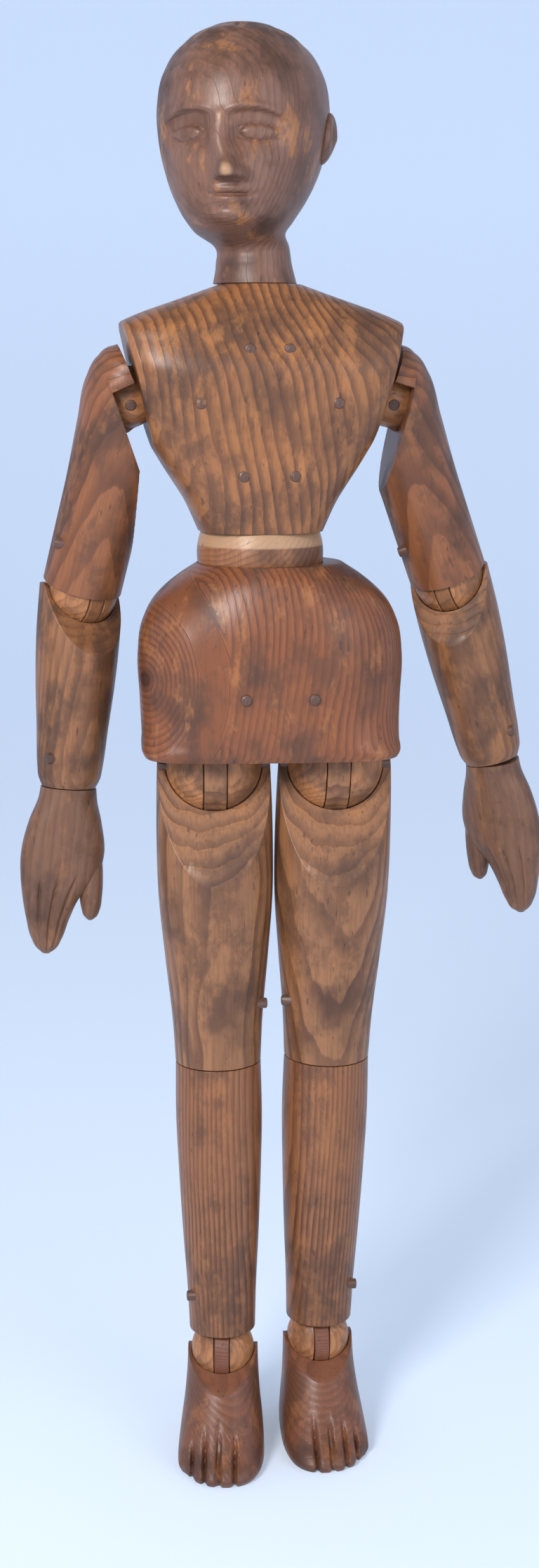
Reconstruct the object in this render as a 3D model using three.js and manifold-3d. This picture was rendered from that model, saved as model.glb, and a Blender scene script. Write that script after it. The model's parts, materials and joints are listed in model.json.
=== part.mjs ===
// Jointed wooden lay figure, about 610 mm tall, in millimetres.
// +Z is up, the figure faces -Y and its left side is +X. It stands on its soles at z = 0.
// Every ball turns on a round tenon in the larger block and carries the next limb on a pinned tongue.
import * as THREE from 'three';
import { mergeVertices } from 'three/addons/utils/BufferGeometryUtils.js';
import Module from 'manifold-3d';

const wasm = await Module();
wasm.setup();

// Clearances
const BALL_GAP = 0.35;
const SLIDE_GAP = 0.4;
const PIN_GAP = 0.35;
const SEAM_GAP = 0.4;
const HIP_GAP = 1.2;

// Pegs that keep the tenons in
const PEG_RADIUS = 2.25;
const PEG_PROUD = 0.5;
const PEG_PAST_AXIS = 9;
const GROOVE_SLACK = 0.5;
const TONGUE_ROOT = 2.5;
const TONGUE_SET_IN = 0.2;

// Joints: drop is how far the ball's centre hangs below the end face of the block above it
const WAIST = {
  ballRadius: 26.5, drop: 7, tenonRadius: 10.4, tenonReach: 45, pegReach: 33,
  tongue: 12, pinRadius: 2.6, boss: 7, tongueFront: 20, tongueBack: 20, bend: 16, stretch: 12,
};
const SHOULDER = {
  ballRadius: 12.5, drop: 5, tenonRadius: 8.5, tenonReach: 33, pegReach: 26,
  tongue: 6.5, pinRadius: 2.4, boss: 5.5, tongueFront: 20, tongueBack: 95, bend: 16, stretch: 8,
  bevel: 58, bevelOffset: -5.5, capRise: 10, rootFront: -2,
};
const ELBOW = {
  ballRadius: 15.5, drop: 3, tenonRadius: 8, tenonReach: 31, pegReach: 22,
  tongue: 6.5, pinRadius: 2, boss: 5.5, tongueFront: 80, tongueBack: 40, bend: 58, stretch: 24,
  bevel: 58, bevelOffset: 1,
};
const HIP = {
  ballRadius: 20.5, drop: 6.5, tenonRadius: 12, tenonReach: 44, pegReach: 33.5,
  tongue: 9.6, pinRadius: 2.4, boss: 6.5, tongueFront: 75, tongueBack: 40, bend: 65, stretch: 2,
  bevel: 65, bevelOffset: 1,
};
const KNEE = {
  ballRadius: 16, drop: 3, tenonRadius: 9, tenonReach: 38, pegReach: 30,
  tongue: 8, pinRadius: 2.2, boss: 6, tongueFront: 75, tongueBack: 40, bend: 70, stretch: 2,
  bevel: 70, bevelOffset: 1,
};
const ANKLE = {
  ballRadius: 14, drop: 10.5, tenonRadius: 7.5, tenonReach: 35, pegReach: 28,
  tongue: 6.5, pinRadius: 2, boss: 5, tongueFront: 60, tongueBack: 45, bend: 26, stretch: 26,
  bevel: 32, bevelOffset: 0.5, backBevel: 40, backBevelOffset: 3,
};
const NECK = { tenonRadius: 8, tenonReach: 36, pegReach: 26 };
const WRIST = { tenonRadius: 6, tenonReach: 21, pegReach: 13 };

// Heights of the joints and the blocks between them
const ANKLE_HEIGHT = 43.5;
const TOE_HEIGHT = 5.5;
const SOLE_EDGE = 2.5;
const SHIN_LENGTH = 131.5;
const THIGH_LENGTH = 133.5;
const HIP_SPACING = 52;
const HIP_SHIFT = 2;
const PELVIS_HEIGHT = 80;
const WAIST_RISE = 90.5;
const TORSO_SHIFT = -4;
const CHEST_HEIGHT = 102;
const SHOULDER_SPACING = 110;
const SHOULDER_RISE = 57;
const SHOULDER_SLOPE = 14;
const UPPER_ARM_LENGTH = 86;
const FOREARM_LENGTH = 84;
const WRIST_CHAMFER = 4;
const HEAD_HEIGHT = 102;
const JAW_HEIGHT = 15;
const NECK_SHIFT = -2.5;
const HEAD_SHIFT = -7;

// Pose at rest, in degrees
const PELVIS_TURN = 4;
const CHEST_TURN = 4;
const HEAD_TURN = -20;
const ARM_SPREAD = { right: 12.5, left: 20.5 };
const ARM_SWING = { right: -15, left: -16 };
const ELBOW_TURN = { right: 20, left: 20 };
const ELBOW_BEND = { right: 19, left: 14 };
const WRIST_TURN = { right: 0, left: 30 };
const HAND_LEAN = { right: 0, left: 7 };
const LEG_LEAN = { right: 0.5, left: 1.3 };
const LEG_SWING = { right: 2, left: 0 };
const FOOT_TURN = { right: -5, left: 3.5 };

// Mesh fineness
const LIMB_SIDES = 16;
const BLOCK_SIDES = 22;
const BALL_SIDES = 14;
const BALL_ROWS = 6;
const TOOL_SIDES = 14;
const TOOL_ROWS = 8;
const PEG_SIDES = 8;
const FAR = 200;

const DEG = Math.PI / 180;
const wood = (color, roughness) => new THREE.MeshStandardMaterial({ color, roughness, metalness: 0 });
const BLOCK_WOOD = wood(0x8a5a3a, 0.5);
const BALL_WOOD = wood(0xa87043, 0.55);
const PIN_WOOD = wood(0x6b5348, 0.6);

// Solids and boolean work

function solid(geometry) {
  const bare = geometry.clone();
  bare.deleteAttribute('normal');
  bare.deleteAttribute('uv');
  const merged = mergeVertices(bare, 1e-4);
  return new wasm.Manifold(new wasm.Mesh({
    numProp: 3,
    vertProperties: new Float32Array(merged.attributes.position.array),
    triVerts: new Uint32Array(merged.index.array),
  }));
}

function geometryOf(manifold) {
  const mesh = manifold.getMesh();
  const geometry = new THREE.BufferGeometry();
  geometry.setAttribute('position', new THREE.BufferAttribute(new Float32Array(mesh.vertProperties), 3));
  geometry.setIndex(new THREE.BufferAttribute(new Uint32Array(mesh.triVerts), 1));
  return geometry;
}

const cut = (body, ...tools) => tools.reduce((left, tool) => left.subtract(tool), body);
const join = (body, ...others) => others.reduce((whole, other) => whole.add(other), body);

function piece(name, manifold, material) {
  const mesh = new THREE.Mesh(geometryOf(manifold), material);
  mesh.name = name;
  return mesh;
}

function at(object, x, y, z) {
  object.position.set(x, y, z);
  return object;
}

function group(name, ...children) {
  const made = new THREE.Group();
  made.name = name;
  made.add(...children);
  return made;
}

// Round rods along one axis, from a start point
function rod(radius, length, axis, start, sides = PEG_SIDES) {
  const geometry = new THREE.CylinderGeometry(radius, radius, length, sides);
  geometry.translate(0, length / 2, 0);
  geometry.applyQuaternion(new THREE.Quaternion().setFromUnitVectors(new THREE.Vector3(0, 1, 0), axis));
  geometry.translate(...start);
  return solid(geometry);
}

const X_AXIS = new THREE.Vector3(1, 0, 0);
const Y_AXIS = new THREE.Vector3(0, 1, 0);
const Z_AXIS = new THREE.Vector3(0, 0, 1);

// A faceted sphere or round bore that a true one of this radius fits in
const outside = (radius, sides) => radius / Math.cos(Math.PI / sides);

function sphere(radius) {
  const wide = outside(outside(radius, TOOL_SIDES), 2 * TOOL_ROWS);
  return solid(new THREE.SphereGeometry(wide, TOOL_SIDES, TOOL_ROWS).rotateX(90 * DEG));
}

function lathe(profile, sides) {
  const points = profile.map(([r, z]) => new THREE.Vector2(r, z));
  return solid(new THREE.LatheGeometry(points, sides).rotateX(90 * DEG));
}

// A half space above a plane through height `offset`, tipped so that it falls away to the front (-Y)
function slopeTool(angle, offset, toFront = true) {
  const geometry = new THREE.BoxGeometry(FAR, FAR, FAR).translate(0, 0, FAR / 2 + offset);
  return solid(geometry.rotateX((toFront ? 1 : -1) * angle * DEG));
}

// A solid through stacked rounded sections. Each section is {z, a, b, x, y, n, taper}: half width a,
// half depth b, centre x and y, squareness n (2 is an ellipse) and taper, which widens the front.
const unit = (value, power) => Math.sign(value) * Math.abs(value) ** power;

function ringPoint({ z, a, b, x = 0, y = 0, n = 2, taper = 0 }, angle) {
  const across = unit(Math.cos(angle), 2 / n);
  const along = unit(Math.sin(angle), 2 / n);
  return [x + a * across * (1 - taper * along), y + b * along, z];
}

function loft(sections, sides = LIMB_SIDES) {
  const rings = [...sections].sort((low, high) => low.z - high.z);
  const positions = [];
  const index = [];
  for (const ring of rings) {
    for (let i = 0; i < sides; i += 1) positions.push(...ringPoint(ring, (i / sides) * 2 * Math.PI));
  }
  const vertex = (row, i) => row * sides + (i % sides);
  for (let row = 0; row < rings.length - 1; row += 1) {
    for (let i = 0; i < sides; i += 1) {
      index.push(vertex(row, i), vertex(row, i + 1), vertex(row + 1, i + 1));
      index.push(vertex(row, i), vertex(row + 1, i + 1), vertex(row + 1, i));
    }
  }
  const last = rings.length - 1;
  const foot = positions.length / 3;
  positions.push(rings[0].x ?? 0, rings[0].y ?? 0, rings[0].z);
  positions.push(rings[last].x ?? 0, rings[last].y ?? 0, rings[last].z);
  for (let i = 0; i < sides; i += 1) {
    index.push(foot, vertex(0, i + 1), vertex(0, i));
    index.push(foot + 1, vertex(last, i), vertex(last, i + 1));
  }
  const geometry = new THREE.BufferGeometry();
  geometry.setAttribute('position', new THREE.Float32BufferAttribute(positions, 3));
  geometry.setIndex(index);
  return geometry;
}

// How far a lofted block reaches towards -Y at height z and sideways place x
function frontAt(sections, z, x) {
  const rings = [...sections].sort((low, high) => low.z - high.z);
  const above = Math.max(1, rings.findIndex((ring) => ring.z >= z));
  const [low, high] = [rings[above - 1], rings[above]];
  const share = (z - low.z) / (high.z - low.z);
  const mix = (key, preset) => THREE.MathUtils.lerp(low[key] ?? preset, high[key] ?? preset, share);
  const side = Math.min(1, Math.abs(x - mix('x', 0)) / mix('a', 0));
  const n = mix('n', 2);
  return mix('y', 0) - mix('b', 0) * (1 - side ** n) ** (1 / n);
}

// Joint parts, all with the ball's centre at the origin, the block above at +Z and the hinge along X

// A pie slice in the plane of the hinge, from `back` degrees behind straight down to `front` degrees ahead
function pie(radius, width, front, back) {
  const [from, to] = [(-90 - front) * DEG, (-90 + back) * DEG];
  const shape = new THREE.Shape();
  shape.moveTo(0, 0);
  shape.lineTo(radius * Math.cos(from), radius * Math.sin(from));
  shape.absarc(0, 0, radius, from, to, false);
  shape.closePath();
  const steps = Math.max(4, Math.round((front + back) / 12));
  const options = { depth: width, bevelEnabled: false, curveSegments: steps };
  const geometry = new THREE.ExtrudeGeometry(shape, options).translate(0, 0, -width / 2);
  return solid(geometry.applyMatrix4(new THREE.Matrix4().makeBasis(Y_AXIS, Z_AXIS, X_AXIS)));
}

const across = (radius, width, sides = PEG_SIDES) => rod(radius, width, X_AXIS, [-width / 2, 0, 0], sides);

function ballWithTenon(spec, flexToBack = false) {
  const { ballRadius, tenonRadius, tenonReach, pegReach } = spec;
  const reach = PEG_RADIUS + SLIDE_GAP;
  const groove = tenonRadius - PEG_RADIUS - GROOVE_SLACK;
  const shoulder = Math.sqrt(ballRadius ** 2 - tenonRadius ** 2);
  const top = Math.atan2(shoulder, tenonRadius);
  const round = Array.from({ length: BALL_ROWS + 1 }, (_, i) => {
    const angle = -Math.PI / 2 + (i / BALL_ROWS) * (top + Math.PI / 2);
    return [i === 0 ? 0 : ballRadius * Math.cos(angle), ballRadius * Math.sin(angle)];
  });
  const ball = lathe([
    ...round,
    [tenonRadius, pegReach - reach], [groove, pegReach - reach],
    [groove, pegReach + reach], [tenonRadius, pegReach + reach],
    [tenonRadius, tenonReach], [0, tenonReach],
  ], BALL_SIDES);
  const spare = 6;
  const slotWidth = spec.tongue + 2 * SLIDE_GAP;
  const slot = join(
    pie(ballRadius + FAR / 10, slotWidth, spec.tongueFront + spec.bend + spare, spec.tongueBack + spec.stretch + spare),
    across(spec.boss + SLIDE_GAP, slotWidth, TOOL_SIDES),
  );
  const slotted = cut(ball, flexToBack ? slot.rotate([0, 0, 180]) : slot);
  return cut(slotted, across(spec.pinRadius + PIN_GAP, FAR));
}

// What a block loses so that the ball and its tenon turn in its end
function tenonSeat(spec) {
  const radius = outside(spec.tenonRadius + SLIDE_GAP, TOOL_SIDES);
  const bore = rod(radius, spec.tenonReach + SEAM_GAP, Z_AXIS, [0, 0, 0], TOOL_SIDES);
  return spec.ballRadius ? join(bore, sphere(spec.ballRadius + BALL_GAP)) : bore;
}

// The flat tongue of a limb: flush with the ball where it shows, rooted in the limb where it doesn't
function tongue(spec, rootFront, rootBack) {
  const flush = spec.ballRadius - TONGUE_SET_IN;
  const root = spec.ballRadius + BALL_GAP + TONGUE_ROOT;
  return join(
    pie(flush, spec.tongue, spec.tongueFront, spec.tongueBack),
    pie(root, spec.tongue, rootFront, rootBack),
    across(spec.boss, spec.tongue, TOOL_SIDES),
  );
}

// The upper end of a limb: a spherical socket, cut away on the side it bends to, with its tongue
function socketEnd(body, spec, flexToBack = false) {
  const tools = [sphere(spec.ballRadius + BALL_GAP), slopeTool(spec.bevel, spec.bevelOffset, !flexToBack)];
  if (spec.backBevel) tools.push(slopeTool(spec.backBevel, spec.backBevelOffset, flexToBack));
  const plate = tongue(spec, 90 - spec.bevel - 6, spec.tongueBack);
  const cup = join(cut(body, ...tools), flexToBack ? plate.rotate([0, 0, 180]) : plate);
  return cut(cup, across(spec.pinRadius + PIN_GAP, FAR));
}

const pegHole = (axis, start, length) => rod(PEG_RADIUS + PIN_GAP, length + PIN_GAP, axis, start);
const peg = (name, axis, start, length) => piece(name, rod(PEG_RADIUS, length, axis, start), PIN_WOOD);
const pin = (name, radius, width) => piece(name, across(radius, width), PIN_WOOD);

// Legs

const THIGH_SECTIONS = [
  { z: HIP.drop - HIP_GAP, a: 24, b: 22.8 },
  { z: -0.075 * THIGH_LENGTH, a: 24.6, b: 23.4 },
  { z: -0.24 * THIGH_LENGTH, a: 25, b: 24 },
  { z: -0.412 * THIGH_LENGTH, a: 24.7, b: 23.8 },
  { z: -0.637 * THIGH_LENGTH, a: 22.2, b: 21.6 },
  { z: -0.839 * THIGH_LENGTH, a: 19.6, b: 19.6 },
  { z: KNEE.drop - THIGH_LENGTH, a: 18.6, b: 18.8 },
];
const SHIN_SECTIONS = [
  { z: KNEE.drop - SEAM_GAP, a: 18.6, b: 18.8 },
  { z: -0.167 * SHIN_LENGTH, a: 18.9, b: 19.2 },
  { z: -0.365 * SHIN_LENGTH, a: 18.1, b: 18.6 },
  { z: -0.593 * SHIN_LENGTH, a: 16.7, b: 17 },
  { z: -0.791 * SHIN_LENGTH, a: 15.2, b: 15.4 },
  { z: ANKLE.drop - SHIN_LENGTH, a: 14.6, b: 14.8 },
];
const FOOT_SECTIONS = [
  { z: 0.5, a: 15.6, b: 16.5, y: 1.5 },
  { z: -0.23 * ANKLE_HEIGHT, a: 16, b: 19.5, y: -0.5 },
  { z: -0.46 * ANKLE_HEIGHT, a: 16.8, b: 24, y: -3.5, n: 2.2, taper: 0.04 },
  { z: -0.644 * ANKLE_HEIGHT, a: 17.8, b: 28.2, y: -6.2, n: 2.4, taper: 0.08 },
  { z: -0.782 * ANKLE_HEIGHT, a: 18.4, b: 31.7, y: -8.7, n: 2.6, taper: 0.1 },
  { z: TOE_HEIGHT - ANKLE_HEIGHT, a: 18.6, b: 34.2, y: -10.7, n: 2.8, taper: 0.11 },
  { z: SOLE_EDGE - ANKLE_HEIGHT, a: 18.5, b: 35, y: -11.5, n: 2.8, taper: 0.11 },
  { z: -ANKLE_HEIGHT, a: 17.4, b: 33.4, y: -11.5, n: 2.8, taper: 0.11 },
];

// Half widths of the limbs where the leg pegs cross them
const KNEE_PEG_HALF = 20.5;
const ANKLE_PEG_HALF = 15.2;

// A peg across a limb, tangent to the tenon of the joint below it, proud on one side
function limbPeg(name, spec, drop, halfWidth, side) {
  const reach = halfWidth + PEG_PROUD + PEG_PAST_AXIS;
  const direction = X_AXIS.clone().multiplyScalar(-side);
  const start = [side * (halfWidth + PEG_PROUD), -spec.tenonRadius, spec.pegReach - drop];
  return { mesh: peg(name, direction, start, reach), hole: pegHole(direction, start, reach) };
}

const hipPlace = (sign) => HIP_SHIFT + (sign * HIP_SPACING) / 2;

function leg(side, sign) {
  const name = (part) => `${side}_${part}`;
  const kneePeg = limbPeg(name('knee_peg'), KNEE, THIGH_LENGTH, KNEE_PEG_HALF, -sign);
  const anklePeg = limbPeg(name('ankle_peg'), ANKLE, SHIN_LENGTH, ANKLE_PEG_HALF, sign);

  // The sole is cut level, although the leg leans and the foot is turned out
  const spin = (axis, degrees) => new THREE.Quaternion().setFromAxisAngle(axis, degrees * DEG);
  const turned = spin(Z_AXIS, FOOT_TURN[side]);
  const leaned = spin(Y_AXIS, sign * LEG_LEAN[side]).multiply(spin(X_AXIS, -LEG_SWING[side]));
  const level = leaned.multiply(turned).multiply(spin(X_AXIS, LEG_SWING[side])).invert().multiply(turned);
  const footBody = solid(loft(FOOT_SECTIONS).applyQuaternion(level));
  const foot = group(name('ankle_hinge'),
    piece(name('foot'), socketEnd(footBody, ANKLE), BLOCK_WOOD),
    pin(name('ankle_pin'), ANKLE.pinRadius, 2 * ANKLE.ballRadius));
  foot.rotation.x = LEG_SWING[side] * DEG;
  const ankle = group(name('ankle_swivel'), piece(name('ankle_ball'), ballWithTenon(ANKLE), BALL_WOOD), foot);
  ankle.rotation.z = FOOT_TURN[side] * DEG;

  const ankleSeat = tenonSeat(ANKLE).translate([0, 0, -SHIN_LENGTH]);
  const shinBody = cut(socketEnd(solid(loft(SHIN_SECTIONS)), KNEE, true), ankleSeat, anklePeg.hole);
  const shin = group(name('knee_hinge'),
    piece(name('shin'), shinBody, BLOCK_WOOD),
    pin(name('knee_pin'), KNEE.pinRadius, 2 * KNEE.ballRadius), anklePeg.mesh,
    at(ankle, 0, 0, -SHIN_LENGTH));
  const knee = group(name('knee_swivel'), piece(name('knee_ball'), ballWithTenon(KNEE, true), BALL_WOOD), shin);

  const kneeSeat = tenonSeat(KNEE).translate([0, 0, -THIGH_LENGTH]);
  const thighBody = cut(socketEnd(solid(loft(THIGH_SECTIONS)), HIP), kneeSeat, kneePeg.hole);
  const thigh = group(name('hip_hinge'),
    piece(name('thigh'), thighBody, BLOCK_WOOD),
    pin(name('hip_pin'), HIP.pinRadius, 2 * (HIP.ballRadius + 3)), kneePeg.mesh,
    at(knee, 0, 0, -THIGH_LENGTH));
  thigh.rotation.x = -LEG_SWING[side] * DEG;
  const hip = group(name('hip_swivel'), piece(name('hip_ball'), ballWithTenon(HIP), BALL_WOOD), thigh);
  hip.rotation.y = sign * LEG_LEAN[side] * DEG;
  return at(hip, hipPlace(sign), 0, 0);
}

// Pelvis, with its origin midway between the hip balls

const PELVIS_BOTTOM = HIP.drop;
const PELVIS_SECTIONS = [
  { z: 0, a: 54.6, b: 33.5, n: 2.7 },
  { z: 4, a: 55.6, b: 35, n: 2.7 },
  { z: 22, a: 56.4, b: 37, n: 2.6 },
  { z: 42, a: 57, b: 38.4, n: 2.5 },
  { z: 56, a: 54.6, b: 37.8, n: 2.4 },
  { z: 67, a: 48, b: 35.5, n: 2.3 },
  { z: 75, a: 38.5, b: 32.5, n: 2.2 },
  { z: PELVIS_HEIGHT, a: 30.5, b: 29, n: 2.1 },
].map((ring) => ({ ...ring, z: ring.z + PELVIS_BOTTOM }));

function pelvisBlock() {
  const waist = [TORSO_SHIFT, 0, WAIST_RISE];
  const plate = tongue(WAIST, WAIST.tongueFront, WAIST.tongueBack).translate(waist);
  let body = cut(solid(loft(PELVIS_SECTIONS, BLOCK_SIDES)), sphere(WAIST.ballRadius + BALL_GAP).translate(waist));
  body = join(body, plate);
  body = cut(body, across(WAIST.pinRadius + PIN_GAP, 2 * WAIST.ballRadius).translate(waist));
  const pegs = [];
  for (const [side, sign] of [['right', -1], ['left', 1]]) {
    const seat = tenonSeat(HIP).rotate([0, sign * LEG_LEAN[side], 0]).translate([hipPlace(sign), 0, 0]);
    const x = hipPlace(sign) - sign * HIP.tenonRadius;
    const front = frontAt(PELVIS_SECTIONS, HIP.pegReach, x) - PEG_PROUD;
    const start = [x, front, HIP.pegReach];
    body = cut(body, seat, pegHole(Y_AXIS, start, PEG_PAST_AXIS - front));
    pegs.push(peg(`${side}_hip_peg`, Y_AXIS, start, PEG_PAST_AXIS - front));
  }
  return [piece('pelvis', body, BLOCK_WOOD), ...pegs];
}

// Chest, with its origin at the waist ball's centre

const CHEST_SECTIONS = [
  { z: 0, a: 24.6, b: 24.5, n: 2.6 },
  { z: 14, a: 31, b: 28, n: 2.8 },
  { z: 30, a: 41, b: 30.5, n: 3 },
  { z: 45, a: 49.6, b: 32, n: 3.2 },
  { z: 58, a: 55.4, b: 33, n: 3.4 },
  { z: 69, a: 59.5, b: 33.4, n: 3.6 },
  { z: 79, a: 61, b: 29.5, n: 3.6 },
  { z: 85.5, a: 60, b: 26.5, n: 3.4 },
  { z: 90, a: 51, b: 24, n: 3 },
  { z: 96, a: 34, b: 20.5, n: 2.5 },
  { z: CHEST_HEIGHT, a: 17, b: 17, n: 2 },
].map((ring) => ({ ...ring, z: ring.z + WAIST.drop }));
const SHOULDER_HEIGHT = WAIST.drop + SHOULDER_RISE;
const NECK_HEIGHT = WAIST.drop + CHEST_HEIGHT;

// The shoulder ball's frame: its own +Z runs along the tenon into the chest
const shoulderTilt = (sign) => -sign * (90 - SHOULDER_SLOPE);

function chestBlock() {
  let body = solid(loft(CHEST_SECTIONS, BLOCK_SIDES));
  const pegs = [];
  const addPeg = (name, x, z) => {
    const front = frontAt(CHEST_SECTIONS, z, x) - PEG_PROUD;
    body = cut(body, pegHole(Y_AXIS, [x, front, z], PEG_PAST_AXIS - front));
    pegs.push(peg(name, Y_AXIS, [x, front, z], PEG_PAST_AXIS - front));
  };
  const neckBore = tenonSeat(NECK).rotate([180, 0, 0]).translate([0, 0, NECK_HEIGHT]);
  body = cut(body, tenonSeat(WAIST), neckBore);
  for (const [side, sign] of [['right', -1], ['left', 1]]) {
    const place = [(sign * SHOULDER_SPACING) / 2, 0, SHOULDER_HEIGHT];
    const turn = [0, shoulderTilt(sign), 0];
    const flat = slopeTool(0, -SHOULDER.drop).rotate([180, 0, 0]);
    const sideFace = flat.rotate([0, shoulderTilt(sign), 0]).translate(place);
    body = cut(body, sideFace, tenonSeat(SHOULDER).rotate(turn).translate(place));
    const reach = SHOULDER.pegReach;
    const x = sign * (SHOULDER_SPACING / 2 - reach * Math.cos(SHOULDER_SLOPE * DEG)
      - SHOULDER.tenonRadius * Math.sin(SHOULDER_SLOPE * DEG));
    const z = SHOULDER_HEIGHT + reach * Math.sin(SHOULDER_SLOPE * DEG)
      - SHOULDER.tenonRadius * Math.cos(SHOULDER_SLOPE * DEG);
    addPeg(`${side}_shoulder_peg`, x, z);
    addPeg(`${side}_waist_peg`, sign * WAIST.tenonRadius, WAIST.pegReach);
    addPeg(`${side}_neck_peg`, sign * NECK.tenonRadius, NECK_HEIGHT - NECK.pegReach);
  }
  return [piece('chest', body, BLOCK_WOOD), ...pegs];
}

// Head and neck, with the origin at the neck seam

const HEAD_SECTIONS = [
  { z: SEAM_GAP, a: 17, b: 16.6, y: 2 },
  { z: 8, a: 16, b: 15.8, y: 2 },
  { z: 14, a: 16.2, b: 16.4, y: 1.5 },
  { z: 18, a: 18, b: 22, y: -4 },
  { z: 23, a: 21, b: 28, y: -6 },
  { z: 32, a: 26, b: 34, y: -4 },
  { z: 44, a: 30.8, b: 39, y: -0.5 },
  { z: 57, a: 33.8, b: 41, y: 1 },
  { z: 70, a: 34.4, b: 41.5, y: 2 },
  { z: 82, a: 31.8, b: 38, y: 2 },
  { z: 92, a: 25, b: 30, y: 2 },
  { z: 99, a: 14.5, b: 18, y: 2 },
  { z: HEAD_HEIGHT, a: 4.5, b: 5.5, y: 2 },
].map((ring) => ({ ...ring, x: ring.z > JAW_HEIGHT ? HEAD_SHIFT : NECK_SHIFT }));
const NOSE = { bridge: 61, tip: 41, width: 12, proud: 7, sunk: 10, bridgeSunk: 4, round: 1.5, swell: 0.4 };
const EAR = { height: 20, depth: 13, proud: 3.2, rise: 57, back: 5, lean: -8 };

function headBlock() {
  const tip = -frontAt(HEAD_SECTIONS, NOSE.tip, HEAD_SHIFT) + NOSE.proud;
  const bridge = -frontAt(HEAD_SECTIONS, NOSE.bridge, HEAD_SHIFT);
  const outline = new THREE.Shape();
  outline.moveTo(bridge - NOSE.bridgeSunk, NOSE.bridge);
  outline.lineTo(tip - NOSE.sunk - NOSE.proud, NOSE.tip);
  outline.lineTo(tip - NOSE.round, NOSE.tip - 1);
  outline.quadraticCurveTo(tip + NOSE.swell, NOSE.tip, tip, NOSE.tip + 2.5);
  outline.lineTo(bridge + NOSE.swell, NOSE.bridge);
  outline.closePath();
  const options = { depth: NOSE.width, bevelEnabled: false, curveSegments: 4 };
  const wedge = new THREE.ExtrudeGeometry(outline, options).translate(0, 0, -NOSE.width / 2);
  wedge.applyMatrix4(new THREE.Matrix4().makeBasis(Y_AXIS.clone().negate(), Z_AXIS, X_AXIS.clone().negate()));
  let body = join(solid(loft(HEAD_SECTIONS, BLOCK_SIDES)), solid(wedge.translate(HEAD_SHIFT, 0, 0)));
  const earReach = HEAD_SECTIONS[7].a;
  for (const sign of [-1, 1]) {
    const lobe = new THREE.SphereGeometry(1, 12, 8).scale(EAR.proud, EAR.depth / 2, EAR.height / 2);
    body = join(body, solid(lobe.rotateX(EAR.lean * DEG).translate(HEAD_SHIFT + sign * earReach, EAR.back, EAR.rise)));
  }
  const reach = PEG_RADIUS + SLIDE_GAP;
  const groove = NECK.tenonRadius - PEG_RADIUS - GROOVE_SLACK;
  const tenon = lathe([
    [0, -NECK.tenonReach], [NECK.tenonRadius, -NECK.tenonReach],
    [NECK.tenonRadius, -NECK.pegReach - reach], [groove, -NECK.pegReach - reach],
    [groove, -NECK.pegReach + reach], [NECK.tenonRadius, -NECK.pegReach + reach],
    [NECK.tenonRadius, 6], [0, 6],
  ], BALL_SIDES);
  return piece('head', join(body, tenon), BLOCK_WOOD);
}

// Arms, in a limb frame with the arm along -Z, its front at -Y and the shoulder ball at the origin

const UPPER_ARM_SECTIONS = [
  { z: 20.5, a: 5, b: 6 },
  { z: 18.5, a: 10.5, b: 11 },
  { z: 13, a: 15.5, b: 15.5 },
  { z: 4, a: 18, b: 18 },
  { z: -0.163 * UPPER_ARM_LENGTH, a: 17.6, b: 18.2 },
  { z: -0.442 * UPPER_ARM_LENGTH, a: 16.8, b: 18 },
  { z: -0.698 * UPPER_ARM_LENGTH, a: 16.8, b: 17.4 },
  { z: ELBOW.drop - UPPER_ARM_LENGTH, a: 16.8, b: 17 },
];
const FOREARM_SECTIONS = [
  { z: ELBOW.drop - SEAM_GAP, a: 17.6, b: 17.6 },
  { z: -0.214 * FOREARM_LENGTH, a: 17.8, b: 17.8 },
  { z: -0.452 * FOREARM_LENGTH, a: 17, b: 17 },
  { z: -0.69 * FOREARM_LENGTH, a: 15.4, b: 15.2 },
  { z: 2 * WRIST_CHAMFER - FOREARM_LENGTH, a: 14, b: 13.6 },
  { z: WRIST_CHAMFER - FOREARM_LENGTH, a: 13.4, b: 13 },
  { z: -FOREARM_LENGTH, a: 11.6, b: 11.2 },
];
// The hand's sections are for the right hand, whose thumb is at +X
const HAND_SECTIONS = [
  { z: -SEAM_GAP, a: 12, b: 10.6 },
  { z: -5, a: 12.6, b: 10.6 },
  { z: -15, a: 15.6, b: 9.8, x: -0.4, n: 2.2 },
  { z: -30, a: 18, b: 8.8, x: -0.8, n: 2.3 },
  { z: -40, a: 16.4, b: 8.2, x: -2, n: 2.3 },
  { z: -48, a: 12.6, b: 7.4, x: -4.6, n: 2.3 },
  { z: -58, a: 9.4, b: 6.4, x: -5.6, n: 2.3 },
  { z: -67, a: 6.6, b: 5.2, x: -5.6, n: 2.2 },
  { z: -73, a: 3.4, b: 3.6, x: -5.4 },
];
const THUMB_SECTIONS = [
  { z: -24, a: 5, b: 5, x: 10.5 },
  { z: -38, a: 5.6, b: 5.6, x: 11.8 },
  { z: -47, a: 5, b: 5.2, x: 12.6 },
  { z: -54, a: 3.8, b: 4.2, x: 13 },
  { z: -58, a: 1.6, b: 2, x: 13 },
];

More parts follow.
